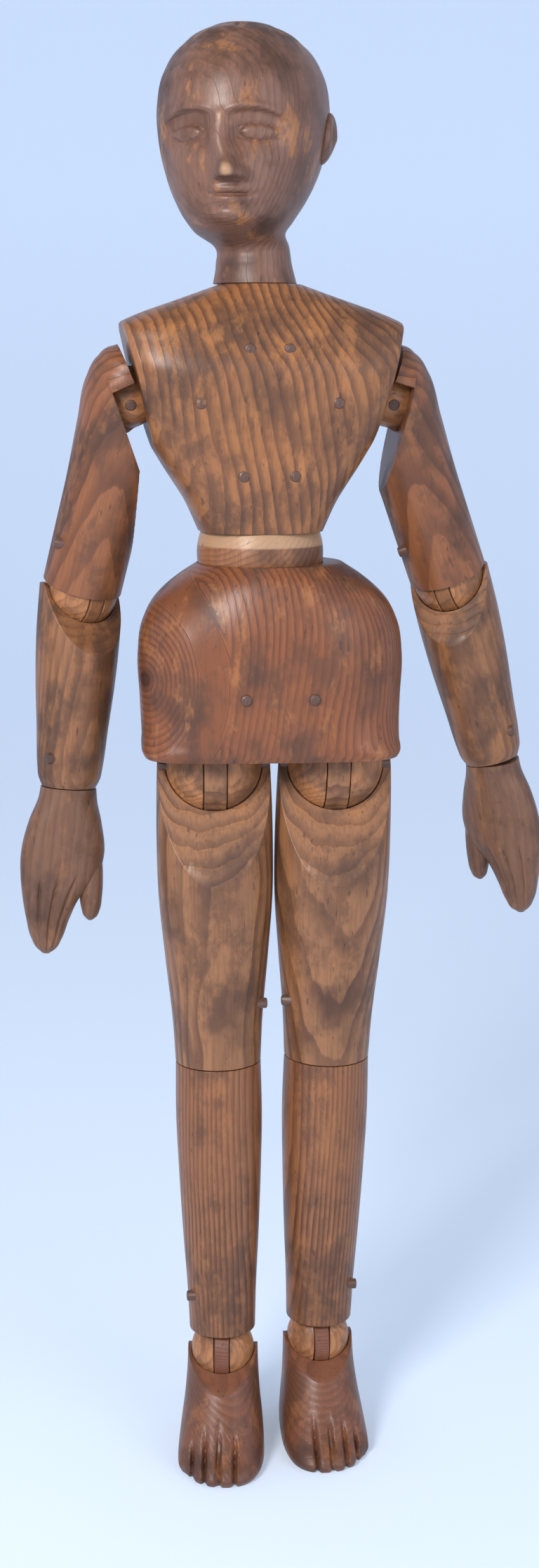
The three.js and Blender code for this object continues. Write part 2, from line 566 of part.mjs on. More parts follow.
function handBlock(name, sign, lean) {
  const reach = PEG_RADIUS + SLIDE_GAP;
  const groove = WRIST.tenonRadius - PEG_RADIUS - GROOVE_SLACK;
  const tenon = lathe([
    [0, -3], [WRIST.tenonRadius, -3],
    [WRIST.tenonRadius, WRIST.pegReach - reach], [groove, WRIST.pegReach - reach],
    [groove, WRIST.pegReach + reach], [WRIST.tenonRadius, WRIST.pegReach + reach],
    [WRIST.tenonRadius, WRIST.tenonReach], [0, WRIST.tenonReach],
  ], BALL_SIDES);
  const mirrored = (sections) => sections.map((ring) => ({ ...ring, x: -sign * (ring.x ?? 0) }));
  const body = join(solid(loft(mirrored(HAND_SECTIONS))), solid(loft(mirrored(THUMB_SECTIONS), 12)));
  const leaning = cut(body.rotate([0, lean, 0]), slopeTool(0, -SEAM_GAP));
  return piece(name, join(leaning, tenon), BLOCK_WOOD);
}

// The arm's top caps the ball. Its inner side is cut away below the cap, so that the ball shows there,
// and the cap stops short of the chest's side face over the whole swing of the hinge.
function upperArmBlock(sign, toChest) {
  const inward = -sign * 90;
  const body = solid(loft(UPPER_ARM_SECTIONS));
  const faces = [-SHOULDER.bend, SHOULDER.stretch].map((turn) => (
    slopeTool(0, SHOULDER.drop - SEAM_GAP).rotate([0, toChest + sign * turn, 0])));
  const scoop = slopeTool(SHOULDER.bevel, SHOULDER.bevelOffset).rotate([0, 0, inward]);
  const belowCap = solid(new THREE.BoxGeometry(FAR, FAR, FAR).translate(0, 0, SHOULDER.capRise - FAR / 2));
  const plate = tongue(SHOULDER, SHOULDER.rootFront, SHOULDER.tongueBack).rotate([0, 0, inward]);
  const shell = cut(body, sphere(SHOULDER.ballRadius + BALL_GAP), scoop.intersect(belowCap), ...faces);
  const holed = cut(join(shell, plate), across(SHOULDER.pinRadius + PIN_GAP, FAR).rotate([0, 0, 90]));
  return cut(holed, tenonSeat(ELBOW).translate([0, 0, -UPPER_ARM_LENGTH]));
}

function arm(side, sign) {
  const name = (part) => `${side}_${part}`;
  const elbowPeg = limbPeg(name('elbow_peg'), ELBOW, UPPER_ARM_LENGTH, UPPER_ARM_SECTIONS[6].a, -1);
  const wristPeg = limbPeg(name('wrist_peg'), WRIST, FOREARM_LENGTH, FOREARM_SECTIONS[4].a, sign);

  const wrist = group(name('wrist_swivel'), handBlock(name('hand'), sign, HAND_LEAN[side]));
  wrist.rotation.z = sign * (ELBOW_TURN[side] - WRIST_TURN[side]) * DEG;
  const wristSeat = tenonSeat(WRIST).translate([0, 0, -FOREARM_LENGTH]);
  const forearmBody = cut(socketEnd(solid(loft(FOREARM_SECTIONS)), ELBOW), wristSeat, wristPeg.hole);
  const forearm = group(name('elbow_hinge'),
    piece(name('forearm'), forearmBody, BLOCK_WOOD),
    pin(name('elbow_pin'), ELBOW.pinRadius, 2 * ELBOW.ballRadius), wristPeg.mesh,
    at(wrist, 0, 0, -FOREARM_LENGTH));
  forearm.rotation.x = -ELBOW_BEND[side] * DEG;
  const elbow = group(name('elbow_swivel'), piece(name('elbow_ball'), ballWithTenon(ELBOW), BALL_WOOD), forearm);
  elbow.rotation.z = -sign * ELBOW_TURN[side] * DEG;

  const flex = 90 - SHOULDER_SLOPE - ARM_SPREAD[side];
  const upperArm = group(name('shoulder_hinge'),
    piece(name('upper_arm'), cut(upperArmBlock(sign, -sign * flex), elbowPeg.hole), BLOCK_WOOD), elbowPeg.mesh,
    at(elbow, 0, 0, -UPPER_ARM_LENGTH));

  const slope = SHOULDER_SLOPE * DEG;
  const toChest = new THREE.Vector3(-sign * Math.cos(slope), 0, Math.sin(slope));
  const upward = new THREE.Vector3(sign * Math.sin(slope), 0, Math.cos(slope));
  const hingeAxis = new THREE.Vector3(0, -sign, 0);
  const basis = new THREE.Matrix4().makeBasis(hingeAxis, upward, toChest);
  const unbent = new THREE.Quaternion().setFromRotationMatrix(basis);
  upperArm.quaternion.setFromAxisAngle(Y_AXIS, -sign * ARM_SPREAD[side] * DEG).premultiply(unbent.clone().invert());
  const slotted = { ...SHOULDER, tongueFront: SHOULDER.tongueFront + flex, tongueBack: SHOULDER.tongueBack - flex };
  const shoulder = group(name('shoulder_swivel'),
    piece(name('shoulder_ball'), ballWithTenon(slotted), BALL_WOOD),
    pin(name('shoulder_pin'), SHOULDER.pinRadius, 2 * SHOULDER.ballRadius), upperArm);
  shoulder.quaternion.setFromAxisAngle(toChest, sign * ARM_SWING[side] * DEG).multiply(unbent);
  return at(shoulder, (sign * SHOULDER_SPACING) / 2, 0, SHOULDER_HEIGHT);
}

// Assembly, standing on the soles with the origin under the middle of the figure's box

const head = group('neck_swivel', headBlock());
head.rotation.z = HEAD_TURN * DEG;
const chest = group('waist_swivel', ...chestBlock(), at(head, 0, 0, NECK_HEIGHT), arm('right', -1), arm('left', 1));
chest.rotation.z = CHEST_TURN * DEG;
const waist = group('waist_tilt',
  piece('waist_ball', ballWithTenon(WAIST), BALL_WOOD), pin('waist_pin', WAIST.pinRadius, 2 * (WAIST.ballRadius - 2)), chest);
const pelvis = group('pelvis_block', ...pelvisBlock(), at(waist, TORSO_SHIFT, 0, WAIST_RISE),
  leg('right', -1), leg('left', 1));
pelvis.rotation.z = PELVIS_TURN * DEG;
pelvis.position.z = ANKLE_HEIGHT + (SHIN_LENGTH + THIGH_LENGTH) * Math.cos(LEG_LEAN.left * DEG);

const figure = group('lay_figure', pelvis);
const box = new THREE.Box3().setFromObject(figure, true);
const middle = box.getCenter(new THREE.Vector3());
figure.position.set(-middle.x, -middle.y, -box.min.z);

export default figure;
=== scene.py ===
# %% [markdown]
# # A jointed wooden lay figure
# The real figure is turned and carved pine, dark with age and wax. It could be modelled from nothing,
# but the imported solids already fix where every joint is. So this lesson reads the joints, and carves a
# finer skin for each piece around them.

# %% Frame
import json
import math

import bpy
import numpy as np
from mathutils import Matrix, Vector


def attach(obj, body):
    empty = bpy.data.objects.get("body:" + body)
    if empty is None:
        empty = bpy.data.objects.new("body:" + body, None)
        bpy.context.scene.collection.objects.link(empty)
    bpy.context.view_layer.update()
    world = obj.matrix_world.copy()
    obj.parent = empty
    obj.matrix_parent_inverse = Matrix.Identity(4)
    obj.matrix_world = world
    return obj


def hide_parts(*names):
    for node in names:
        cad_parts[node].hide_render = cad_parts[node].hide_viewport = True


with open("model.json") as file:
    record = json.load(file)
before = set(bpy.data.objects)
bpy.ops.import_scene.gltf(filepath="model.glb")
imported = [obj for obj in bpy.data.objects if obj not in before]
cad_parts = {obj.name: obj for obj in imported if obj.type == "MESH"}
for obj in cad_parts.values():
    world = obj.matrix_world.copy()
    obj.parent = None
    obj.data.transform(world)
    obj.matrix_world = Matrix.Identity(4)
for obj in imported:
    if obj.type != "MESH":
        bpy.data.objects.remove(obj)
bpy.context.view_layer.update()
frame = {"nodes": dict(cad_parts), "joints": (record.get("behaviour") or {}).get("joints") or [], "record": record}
joints = {joint["name"]: joint for joint in frame["joints"]}
bodies = frame["record"]["behaviour"]["bodies"]
body_of_node = {node: body for body, nodes in bodies.items() for node in nodes}
print(len(joints), "joints,", len(body_of_node), "nodes")

# %% [markdown]
# A maker shapes each piece on its own at the bench and then joins it to the others. The pieces could all
# be drawn in the figure's frame, but then every number would change with the pose. So each piece is
# drawn in millimetres about its own joint, and a place, which is an origin and three axes, says where it
# belongs.

# %% Places
MM = 0.001


def spot(name):
    """The joint's point in millimetres."""
    return np.array(joints[name]["pos_m"]) / MM


def axis(name):
    """The joint's axis, of length 1."""
    return np.array(joints[name]["axis"])


def upward(vector):
    """The vector, or its opposite where it points down."""
    return vector if vector[2] > 0 else -vector


def set_place(origin, x, z):
    """Axes with z kept, x made square to it, and y = z cross x."""
    z = z / np.linalg.norm(z)
    y = np.cross(z, x)
    y /= np.linalg.norm(y)
    return origin, np.stack([np.cross(y, z), y, z], 1)


def turned(place, degrees):
    """The same place turned about its own z axis: x becomes x cos w + y sin w."""
    c = math.cos(math.radians(degrees))
    s = math.sin(math.radians(degrees))
    return place[0], place[1] @ np.array([[c, -s, 0], [s, c, 0], [0, 0, 1]])


print("the waist is at", spot("waist_tilt").round(1), "mm")

# %% [markdown]
# The trunk stands upright and faces along the line of its hips or shoulders. A limb points from one
# joint to the next, and its hinge lies across it. Angles could be typed in, but the joints already hold
# them. Only the head and the hands, which swivel on their own line, need a turn of their own.

# %% Places of the pieces
UP = np.array([0.0, 0.0, 1.0])
LEVEL = np.array([1, 1, 0])
SIDES = (("right", -1), ("left", 1))
HEAD_TURN = -20
HAND_TURN = {"right": -20, "left": -10}
HINGES = ("shoulder", "elbow", "hip", "knee", "ankle")
hip_line = spot("left_hip_hinge") - spot("right_hip_hinge")
shoulder_line = spot("left_shoulder_hinge") - spot("right_shoulder_hinge")
places = {
    "pelvis": set_place(spot("waist_tilt"), hip_line * LEVEL, UP),
    "chest": set_place(spot("waist_tilt"), shoulder_line, UP),
    "waist_ball": set_place(spot("waist_tilt"), axis("waist_tilt"), UP),
}
places["head"] = turned((spot("neck_swivel"), places["chest"][1]), HEAD_TURN)
for side, sign in SIDES:
    shoulder, elbow, hip, knee, ankle = (spot(f"{side}_{part}_hinge") for part in HINGES)
    bend = {part: axis(f"{side}_{part}_hinge") for part in HINGES}
    wrist = spot(f"{side}_wrist_swivel")
    arm_line = shoulder - elbow
    shoulder_up = upward(axis(f"{side}_shoulder_swivel"))
    hip_up = upward(axis(f"{side}_hip_swivel"))
    forearm_place = set_place(elbow, -bend["elbow"], elbow - wrist)
    places.update({
        f"{side}_shoulder_ball": set_place(shoulder, bend["shoulder"], shoulder_up),
        f"{side}_upper_arm": set_place(shoulder, np.cross(-sign * bend["shoulder"], arm_line), arm_line),
        f"{side}_elbow_ball": set_place(elbow, -bend["elbow"], arm_line),
        f"{side}_forearm": forearm_place,
        f"{side}_hand": turned((wrist, forearm_place[1]), HAND_TURN[side]),
        f"{side}_hip_ball": set_place(hip, -bend["hip"], hip_up),
        f"{side}_thigh": set_place(hip, -bend["hip"], hip - knee),
        f"{side}_knee_ball": set_place(knee, bend["knee"], hip - knee),
        f"{side}_shin": set_place(knee, bend["knee"], knee - ankle),
        f"{side}_ankle_ball": set_place(ankle, -bend["ankle"], knee - ankle),
        f"{side}_foot": set_place(ankle, -bend["ankle"] * LEVEL, UP),
    })
print("places for", len(places), "pieces")

# %% [markdown]
# A carved block has one closed surface. It could be sculpted, or a cylinder could be pushed about point
# by point. Here it is a grid of points worked out as one array: rows run from one pole to the other, and
# columns run round. Each pole is a single point, so the skin has no hole.


# %% Closed skins
def faces_of(rows, columns, first):
    """Quads between rows and triangle fans at the poles, as index arrays that start at `first`."""
    ring = np.arange(columns)
    turn = (ring + 1) % columns
    body = first + 1 + np.arange(rows - 3)[:, None] * columns
    above = body + columns
    quads = np.stack([body + ring, body + turn, above + turn, above + ring], -1).reshape(-1, 4)
    last = first + 1 + (rows - 2) * columns
    top = last - columns
    low = np.stack([np.full(columns, first), first + 1 + turn, first + 1 + ring], 1)
    high = np.stack([np.full(columns, last), top + ring, top + turn], 1)
    return quads, low, high


def inside_out(skin):
    """True where the signed volume is negative: the sum of p dot (step round cross step along)."""
    round_step = np.roll(skin, -1, 1) - skin
    along = np.zeros_like(skin)
    along[:-1] = skin[1:] - skin[:-1]
    centre = skin.mean((0, 1))
    return np.einsum("ijk,ijk->", skin - centre, np.cross(round_step, along)) < 0


print("a skin of 4 rows and 6 columns has", sum(len(part) for part in faces_of(4, 6, 0)), "faces")

# %% [markdown]
# A piece may be more than one skin: a forearm is a rod with a flat tongue. A boolean could fuse them,
# but it leaves ragged triangles, so the skins simply share one mesh and overlap inside. Handled wood has
# no knife edges, and a small Bevel modifier rounds each sharp one. The piece then rides on its body and
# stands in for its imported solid.

# %% Carving
BEVEL_WIDTH = 0.45
BEVEL_SEGMENTS = 2
SHARP_ANGLE = math.radians(38)


def carve(name, skins, place, material, node, bevel=BEVEL_WIDTH):
    """One mesh from closed skins: figure's point = axes times own point, plus origin, in metres."""
    points, faces, first = [], [], 0
    for skin in skins:
        skin = skin[:, ::-1] if inside_out(skin) else skin
        points += [skin[:1, 0], skin[1:-1].reshape(-1, 3), skin[-1:, 0]]
        faces += [part.tolist() for part in faces_of(*skin.shape[:2], first)]
        first += (skin.shape[0] - 2) * skin.shape[1] + 2
    origin, axes = place
    world = (np.concatenate(points) @ axes.T + origin) * MM
    mesh = bpy.data.meshes.new(name)
    mesh.from_pydata(world.tolist(), [], [face for group in faces for face in group])
    mesh.shade_smooth()
    mesh.set_sharp_from_angle(angle=SHARP_ANGLE)
    mesh.materials.append(material)
    piece = bpy.data.objects.new(name, mesh)
    bpy.context.collection.objects.link(piece)
    if bevel:
        edge = piece.modifiers.new("worn edges", "BEVEL")
        edge.width = bevel * MM
        edge.segments = BEVEL_SEGMENTS
        edge.limit_method = "ANGLE"
        edge.angle_limit = SHARP_ANGLE
    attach(piece, body_of_node[node])
    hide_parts(node)
    return piece


print("edges sharper than", round(math.degrees(SHARP_ANGLE)), "degrees get a bevel of", BEVEL_WIDTH, "mm")

# %% [markdown]
# A turned or carved rod is known by its cross sections. A loft through a few drawn curves would do, but
# a table is easier to measure and change. Each row is a height and a rounded square, and cubics between
# the rows give the section at any height. A plane then trims a skin flat, as a saw would.

# %% Sections
PLAIN_SECTION = (0, 0, 2, 0)


def smooth(z, knots, values):
    """Cubic through the knots, with each knot's slope taken from its neighbours."""
    slope = np.gradient(values, knots)
    i = np.clip(np.searchsorted(knots, z) - 1, 0, len(knots) - 2)
    h = knots[i + 1] - knots[i]
    t = (z - knots[i]) / h
    return ((2 * t**3 - 3 * t**2 + 1) * values[i] + (t**3 - 2 * t**2 + t) * h * slope[i]
            + (3 * t**2 - 2 * t**3) * values[i + 1] + (t**3 - t**2) * h * slope[i + 1])


def section(rows, z, u):
    """Superellipse at height z: x = x0 + a c (1 - taper s), y = y0 + b s, where c and s are cos u and sin u
    raised to 2 / squareness with their signs kept. Each row is (z, a, b, x0, y0, squareness, taper)."""
    table = np.array(sorted(rows), float)
    a, b, x0, y0, squareness, taper = (smooth(z, table[:, 0], table[:, k]) for k in range(1, 7))
    c = np.sign(np.cos(u)) * np.abs(np.cos(u)) ** (2 / squareness)
    s = np.sign(np.sin(u)) * np.abs(np.sin(u)) ** (2 / squareness)
    return np.stack([x0 + a * c * (1 - taper * s), y0 + b * s, z + 0 * u], -1)


def fill(rows):
    """Section rows with the plain values added: middle at 0, 0, an ellipse, no taper."""
    return [tuple(row) + PLAIN_SECTION[len(row) - 3:] for row in rows]


def trim(skin, point, normal, where=True):
    """Points beyond a plane are moved straight back onto it, by their distance along its normal."""
    normal = np.array(normal) / np.linalg.norm(normal)
    beyond = np.maximum((skin - np.array(point)) @ normal, 0) * where
    return skin - beyond[..., None] * normal


print("half way between two equal sections:", section(fill([(0, 5, 5), (10, 5, 5)]), np.array([5.0]), 0.0))

# %% [markdown]
# At a joint, a limb has a hollow cup that hugs a wooden ball, and its rim is cut slanting on the side to
# which it bends. A boolean could hollow it, but the rows of the grid can also simply run on: over the
# slanting cut to the lip of the cup, and down its inside. An end without a ball is sawn flat.

# %% Ends of a limb
CUP_GAP = 0.35
LOWER_CUP_ROWS = 14
UPPER_CUP_ROWS = 18
FLAT_END = np.linspace(0, 0.94, 5)[:, None, None]
ACROSS_CUT = np.linspace(0.2, 0.8, 4)[:, None, None]
INWARD = np.linspace(1, 0.02, 400)[:, None]


def arc_rows(start, end, count):
    """Points on the arc from start to end about the origin: (sin((1-t)w) start + sin(tw) end) / sin w."""
    cosine = np.einsum("ik,k->i", start, end) / (np.linalg.norm(start, axis=1) * np.linalg.norm(end))
    w = np.arccos(np.clip(cosine, -1, 1))[None, :, None]
    t = np.linspace(0, 1, count)[:, None, None]
    return (np.sin((1 - t) * w) * start + np.sin(t * w) * end) / np.sin(w)


def slant(cuts, y, high):
    """Height of the lowest cut at depth y: (offset + front y sin w) / cos w, and never above `high`."""
    z = np.full(np.shape(y), float(high))
    for degrees, offset, front in cuts:
        w = math.radians(degrees)
        z = np.minimum(z, (offset + front * y * math.sin(w)) / math.cos(w))
    return z


def flat_end(ring):
    """Rows from the ring's middle outwards: middle + share (ring - middle)."""
    middle = ring.mean(0)
    return middle + (ring - middle) * FLAT_END


def lower_cup(low, ball, u):
    """Dome over the ball below: arcs from its top down to the rim at height `low`."""
    radius = ball[0] + CUP_GAP
    middle = ball[1]
    rim = math.sqrt(radius**2 - (low - middle) ** 2)
    edge = np.stack([rim * np.cos(u), rim * np.sin(u), 0 * u + low - middle], 1)
    return arc_rows(edge, np.array([0, 0, radius]), LOWER_CUP_ROWS)[::-1] + [0, 0, middle]


def upper_cup(rim, ball_radius, cuts, high):
    """From the rim over the cut to the lip, then arcs down to the bottom of the ball at the origin.
    The lip is the first point on the way inwards that is nearer to the origin than the cup's radius."""
    radius = ball_radius + CUP_GAP
    z = slant(cuts, INWARD * rim[:, 1], high)
    near = INWARD**2 * (rim[:, 0] ** 2 + rim[:, 1] ** 2) + z**2 < radius**2
    first = np.argmax(near, 0)
    share = INWARD[first, 0]
    lip = np.stack([share * rim[:, 0], share * rim[:, 1], z[first, np.arange(len(rim))]], 1)
    lip *= radius / np.linalg.norm(lip, axis=1, keepdims=True)
    bottom = np.array([0, 0, -radius])
    return np.concatenate([rim + (lip - rim) * ACROSS_CUT, arc_rows(lip, bottom, UPPER_CUP_ROWS)])


print("a cup is", CUP_GAP, "mm wider than its ball all round")

# %% [markdown]
# A whole limb is now one surface. It could be a rod with two hollow ends stuck on, but seams would show
# in the polish. Its rows start in the cup for the ball below, climb the outer side, and end in the cup
# for its own ball.

# %% Limbs
COLUMNS = 96
SETTLING_ROUNDS = 4
round_angles = np.linspace(0, 2 * math.pi, COLUMNS, endpoint=False)


def limb(rows, top=None, bottom=None, count=70, columns=COLUMNS):
    """Sections from the lowest height up to the slanting cuts. top is (ball radius, cuts), where each cut is
    (degrees, offset, front sign), and bottom is (ball radius, height of the ball's middle)."""
    rows = fill(rows)
    low = min(rows)[0]
    high = max(rows)[0]
    ball_radius, cuts = top if top else (0, ())
    u = np.linspace(0, 2 * math.pi, columns, endpoint=False)
    reach = np.full(columns, float(high))
    for _ in range(SETTLING_ROUNDS):
        depth = section(rows, reach, u)[:, 1]
        reach = np.minimum(reach, slant(cuts, depth, high))
    t = np.linspace(0, 1, count)[:, None]
    outside = section(rows, low + t * (reach - low), u)
    lower = lower_cup(low, bottom, u) if bottom else flat_end(outside[0])
    upper = upper_cup(outside[-1], ball_radius, cuts, high) if top else flat_end(outside[-1])[::-1]
    return np.concatenate([lower, outside, upper])


print("a plain limb has", limb([(0, 5, 5), (10, 5, 5)]).shape[:2], "rows and columns")

# %% [markdown]
# Each ball is turned on a lathe and sawn with a slot, which leaves two cheeks. The next limb's flat
# tongue turns in the slot, and a round tenon holds the ball in the piece before it. A sphere with a
# boolean slot would look the same at rest, but as separate cheeks, tongue and tenon the joint stays
# closed at every bend.

# %% Balls, tongues and tenons
TONGUE_EDGE = 0.4
TONGUE_PLAY = 0.15
TONGUE_CHAMFER = 0.6
ROOT_REACH = 2.2
ROOT_SPREAD = 0.35
DOWN_ANGLE = 1.5 * math.pi
CHEEK_ROWS = 26
GLOBE_ROWS = 60
POST_PROFILE = np.array([0, 0.6, 0.92, 1, 1, 0.92, 0.6, 0])


def spin(radius, height):
    """A profile carried round z: x = radius cos u, y = radius sin u, z = height."""
    radius = radius[:, None]
    return np.stack([radius * np.cos(round_angles), radius * np.sin(round_angles),
                     height[:, None] + 0 * round_angles], -1)


def about_x(skin):
    """The same skin with its z axis laid along x: (x, y, z) becomes (z, x, y)."""
    return np.roll(skin, 1, -1)


def tongue(radius, width):
    """Disc about x, a little smaller than the ball and wider by a bump towards -z, where it is rooted."""
    half = width / 2
    x = np.array([-half, -half, TONGUE_EDGE - half, half - TONGUE_EDGE, half, half])
    edge = radius - TONGUE_CHAMFER
    crown = radius - TONGUE_PLAY
    r = np.array([0, edge, crown, crown, edge, 0])[:, None]
    root = ROOT_REACH * np.exp(-((round_angles - DOWN_ANGLE) / ROOT_SPREAD) ** 4)
    wide = r + np.where(r > 0, root, 0)
    return np.stack([x[:, None] + 0 * wide, wide * np.cos(round_angles), wide * np.sin(round_angles)], -1)


def cheek(radius, gap, sign):
    """Half of a slotted ball, as circles about x: x = radius sin w, r = radius cos w, cut flat at gap."""
    w = np.linspace(math.asin(gap / radius), math.pi / 2, CHEEK_ROWS)
    x = np.concatenate([[gap], radius * np.sin(w)])
    r = np.concatenate([[0], radius * np.cos(w)])
    r[-1] = 0
    return about_x(spin(r, x)) * [sign, 1, 1]


def globe(radius):
    """Sphere about z: r = radius cos w, z = radius sin w."""
    w = np.linspace(-math.pi / 2, math.pi / 2, GLOBE_ROWS)
    return spin(radius * np.cos(w), radius * np.sin(w))


def post(radius, low, high, dome=0.0):
    """Round rod about z, with ends that are flat or rise by `dome`."""
    lower = [low - dome, low - 0.8 * dome, low, low + dome]
    upper = [high - dome, high, high + 0.8 * dome, high + dome]
    return spin(radius * POST_PROFILE, np.array(lower + upper))


print("a ball's cheek has", cheek(10, 3, 1).shape[:2], "rows and columns")

# %% [markdown]
# The wood's colour and polish are worked out by shader nodes. They could be wired by hand in the node
# editor, but long sums are hard to read there. A small class wraps a socket, so that an expression such
# as 1 - mask adds the Math nodes by itself.


# %% Shader maths
class Wire:
    """A socket that can be added, subtracted, multiplied and divided in plain expressions."""

    def __init__(self, tree, socket):
        self.tree = tree
        self.socket = socket

    def node(self, kind, settings=None, out=0, **inputs):
        """A new node: i0, i1 and so on name a socket by its number, other names by its label."""
        made = self.tree.nodes.new(kind)
        for key, value in (settings or {}).items():
            setattr(made, key, value)
        for key, value in inputs.items():
            target = made.inputs[int(key[1:]) if key[1:].isdigit() else key.replace("_", " ")]
            if isinstance(value, Wire):
                self.tree.links.new(value.socket, target)
            else:
                target.default_value = value
        return Wire(self.tree, made.outputs[out] if made.outputs else None)

    def math(self, operation, first, second=0.0):
        return self.node("ShaderNodeMath", {"operation": operation}, i0=first, i1=second)

    def __add__(self, other):
        return self.math("ADD", self, other)

    def __sub__(self, other):
        return self.math("SUBTRACT", self, other)

    def __rsub__(self, other):
        return self.math("SUBTRACT", other, self)

    def __mul__(self, other):
        return self.math("MULTIPLY", self, other)

    def __truediv__(self, other):
        return self.math("DIVIDE", self, other)

    def __rtruediv__(self, other):
        return self.math("DIVIDE", other, self)

    __radd__ = __add__
    __rmul__ = __mul__

    def root(self):
        return self.math("SQRT", self)

    def fraction(self):
        return self.math("FRACT", self)

    def step(self, low, high):
        """Smooth rise from 0 at low to 1 at high."""
        settings = {"interpolation_type": "SMOOTHSTEP"}
        return self.node("ShaderNodeMapRange", settings, Value=self, From_Min=low, From_Max=high)

    def noise(self, scale, detail=3.0, roughness=0.55):
        return self.node("ShaderNodeTexNoise", Vector=self, Scale=scale, Detail=detail, Roughness=roughness)

    def along_grain(self, share):
        """The point with its height scaled by the share, which draws a noise out along the grain."""
        return self.node("ShaderNodeVectorMath", {"operation": "MULTIPLY"}, i0=self, i1=(1, 1, share))

    def blend(self, color, other):
        """self is the share: 0 keeps color, 1 gives other."""
        return self.node("ShaderNodeMix", {"data_type": "RGBA"}, out=2, i0=self, i6=color, i7=other)

    def mix(self, value, other):
        """The same for plain values."""
        return self.node("ShaderNodeMix", i0=self, i2=value, i3=other)

    def tint(self, color):
        """self times the color."""
        settings = {"data_type": "RGBA", "blend_type": "MULTIPLY"}
        return self.node("ShaderNodeMix", settings, out=2, i0=1.0, i6=self, i7=color)


def srgb(red, green, blue):
    """Eight-bit colour as a shader's linear colour: ((share + 0.055) / 1.055) to the power 2.4."""
    share = np.array([red, green, blue]) / 255
    linear = np.where(share < 0.04045, share / 12.92, ((share + 0.055) / 1.055) ** 2.4)
    return (*linear.tolist(), 1.0)


print("mid brown in linear light:", np.round(srgb(140, 90, 60)[:3], 3))

# %% [markdown]
# The lines on a board are where its surface crosses the growth rings of the log. A picture of wood could
# be wrapped round each piece, but its lines would break at every edge. So the rings are solid: each
# point's distance from the log's middle line, the pith, is bent by noise and divided by the width of a
# ring. A ring darkens slowly and ends sharply. Each piece reads them in its own frame, so the grain
# turns with it.

# %% Growth lines
KNOT_SQUASH = math.sqrt(0.45)
KNOT_SPREAD = 1.25
KNOT_CORE = 0.6
FINE_WOBBLE = 1.6
FAR_RING = 100.0


def own_frame(start, place, seed):
    """Object coordinates in the piece's millimetres: a point moved aside for the noises, and x, y, z."""
    origin, axes = place
    turn = tuple(Matrix(axes.tolist()).to_euler())
    coordinate = start.node("ShaderNodeTexCoord", out=3)
    local = start.node("ShaderNodeMapping", {"vector_type": "TEXTURE"}, Vector=coordinate,
                       Location=tuple(origin * MM), Rotation=turn, Scale=(MM, MM, MM))
    aside = (seed, seed * 0.7, seed * 1.3)
    grain = start.node("ShaderNodeVectorMath", {"operation": "ADD"}, i0=local, i1=aside)
    split = start.node("ShaderNodeSeparateXYZ", Vector=local)
    return grain, [Wire(start.tree, output) for output in split.socket.node.outputs]


def span(*sides):
    """Square root of the sum of the squares."""
    squares = [side * side for side in sides]
    return sum(squares[1:], squares[0]).root()


def growth_lines(grain, point, pith, lean, spacing, wobble, away, knot):
    """Share of dark late wood. Near a knot, the distance from the knot replaces that from the pith."""
    x, y, z = point
    bent = (grain.along_grain(0.35).noise(0.022, 2.0) - 0.5) * (2 * wobble)
    fine = (grain.along_grain(0.12).noise(0.16, 2.0) - 0.5) * FINE_WOBBLE
    distance = span(x - pith[0] - z * lean[0], y - pith[1] - z * lean[1]) + bent + fine
    if knot:
        pull = 1 - away.step(knot[2] * KNOT_CORE, knot[2])
        distance = pull.mix(distance, away * KNOT_SPREAD)
    phase = (distance / spacing + FAR_RING).fraction()
    return phase.step(0.25, 0.9) * (1 - phase.step(0.93, 1.0))


print("a knot's rings are", round(1 / KNOT_SQUASH, 2), "times as high as wide")

# %% [markdown]
# Old wood that is waxed and handled is never one colour. Painting the stains by hand would tie them to
# one pose of one piece. Noises drawn out along the grain lay them in the order in which they came: dark
# streaks of the wood itself, stains, patches of grime, and places that hands have rubbed bright
# again.

# %% Stains and wear
STREAK = srgb(116, 70, 44)
STAIN = srgb(104, 70, 50)
GRIME = srgb(62, 43, 36)
RUBBED = srgb(212, 142, 82)
AGED = (0.7, 0.68, 0.68, 1.0)
SPECK = srgb(48, 34, 29)
RAW = srgb(214, 170, 128)
RAW_SHARE = 0.75
RAW_EDGE = 0.6
BARE = srgb(190, 146, 110)
BARE_SHARE = 0.65
HEART = srgb(52, 30, 22)
HEART_SHARE = 0.8


def stained(grain, base, streaks, patchy, grime, worn):
    """Each layer is a blend: colour + share (layer - colour)."""
    tone = grain.along_grain(0.7).noise(0.06, 5.0, 0.66)
    base = ((streaks - 0.42).step(0.0, 0.3) * 0.4).blend(base, STREAK)
    base = (tone.step(0.46, 0.6) * 0.6).blend(base, STAIN)
    base = (patchy.step(0.47, 0.64) * grime).blend(base, GRIME)
    return worn.blend(base, RUBBED)


def bared(base, point, bare_spot):
    """A round place rubbed down to bare wood: its share falls with the distance from its middle."""
    away = span(*(value - middle for value, middle in zip(point, bare_spot[:3])))
    size = bare_spot[3]
    return ((1 - away.step(size * 0.4, size)) * BARE_SHARE).blend(base, BARE)


def specked(grain, base):
    """Small dark pores and dents, drawn out a little along the grain."""
    speck = grain.along_grain(0.25).noise(0.55, 2.0, 0.5).step(0.68, 0.74) * 0.55
    return speck.blend(base, SPECK)


print("layers: streaks, stains, grime, rubbed places, pores")

# %% [markdown]
# The finish is a thin, uneven wax. A thick clear coat would shine like plastic, so the coat is slight,
# and the grime dulls it while rubbed places shine a little more. Late wood wears less than early wood,
# which leaves low ridges, and a Bump node is enough for these because they are finer than any outline.

# %% Wood
ROUGHNESS = 0.38
GRIME_DULLS = 0.2
RUB_SHINES = 0.08
SPECULAR = 0.36
WAX_COAT = 0.06
WAX_ROUGHNESS = 0.3
BUMP_STRENGTH = 0.35
BUMP_DEPTH = 0.6 * MM


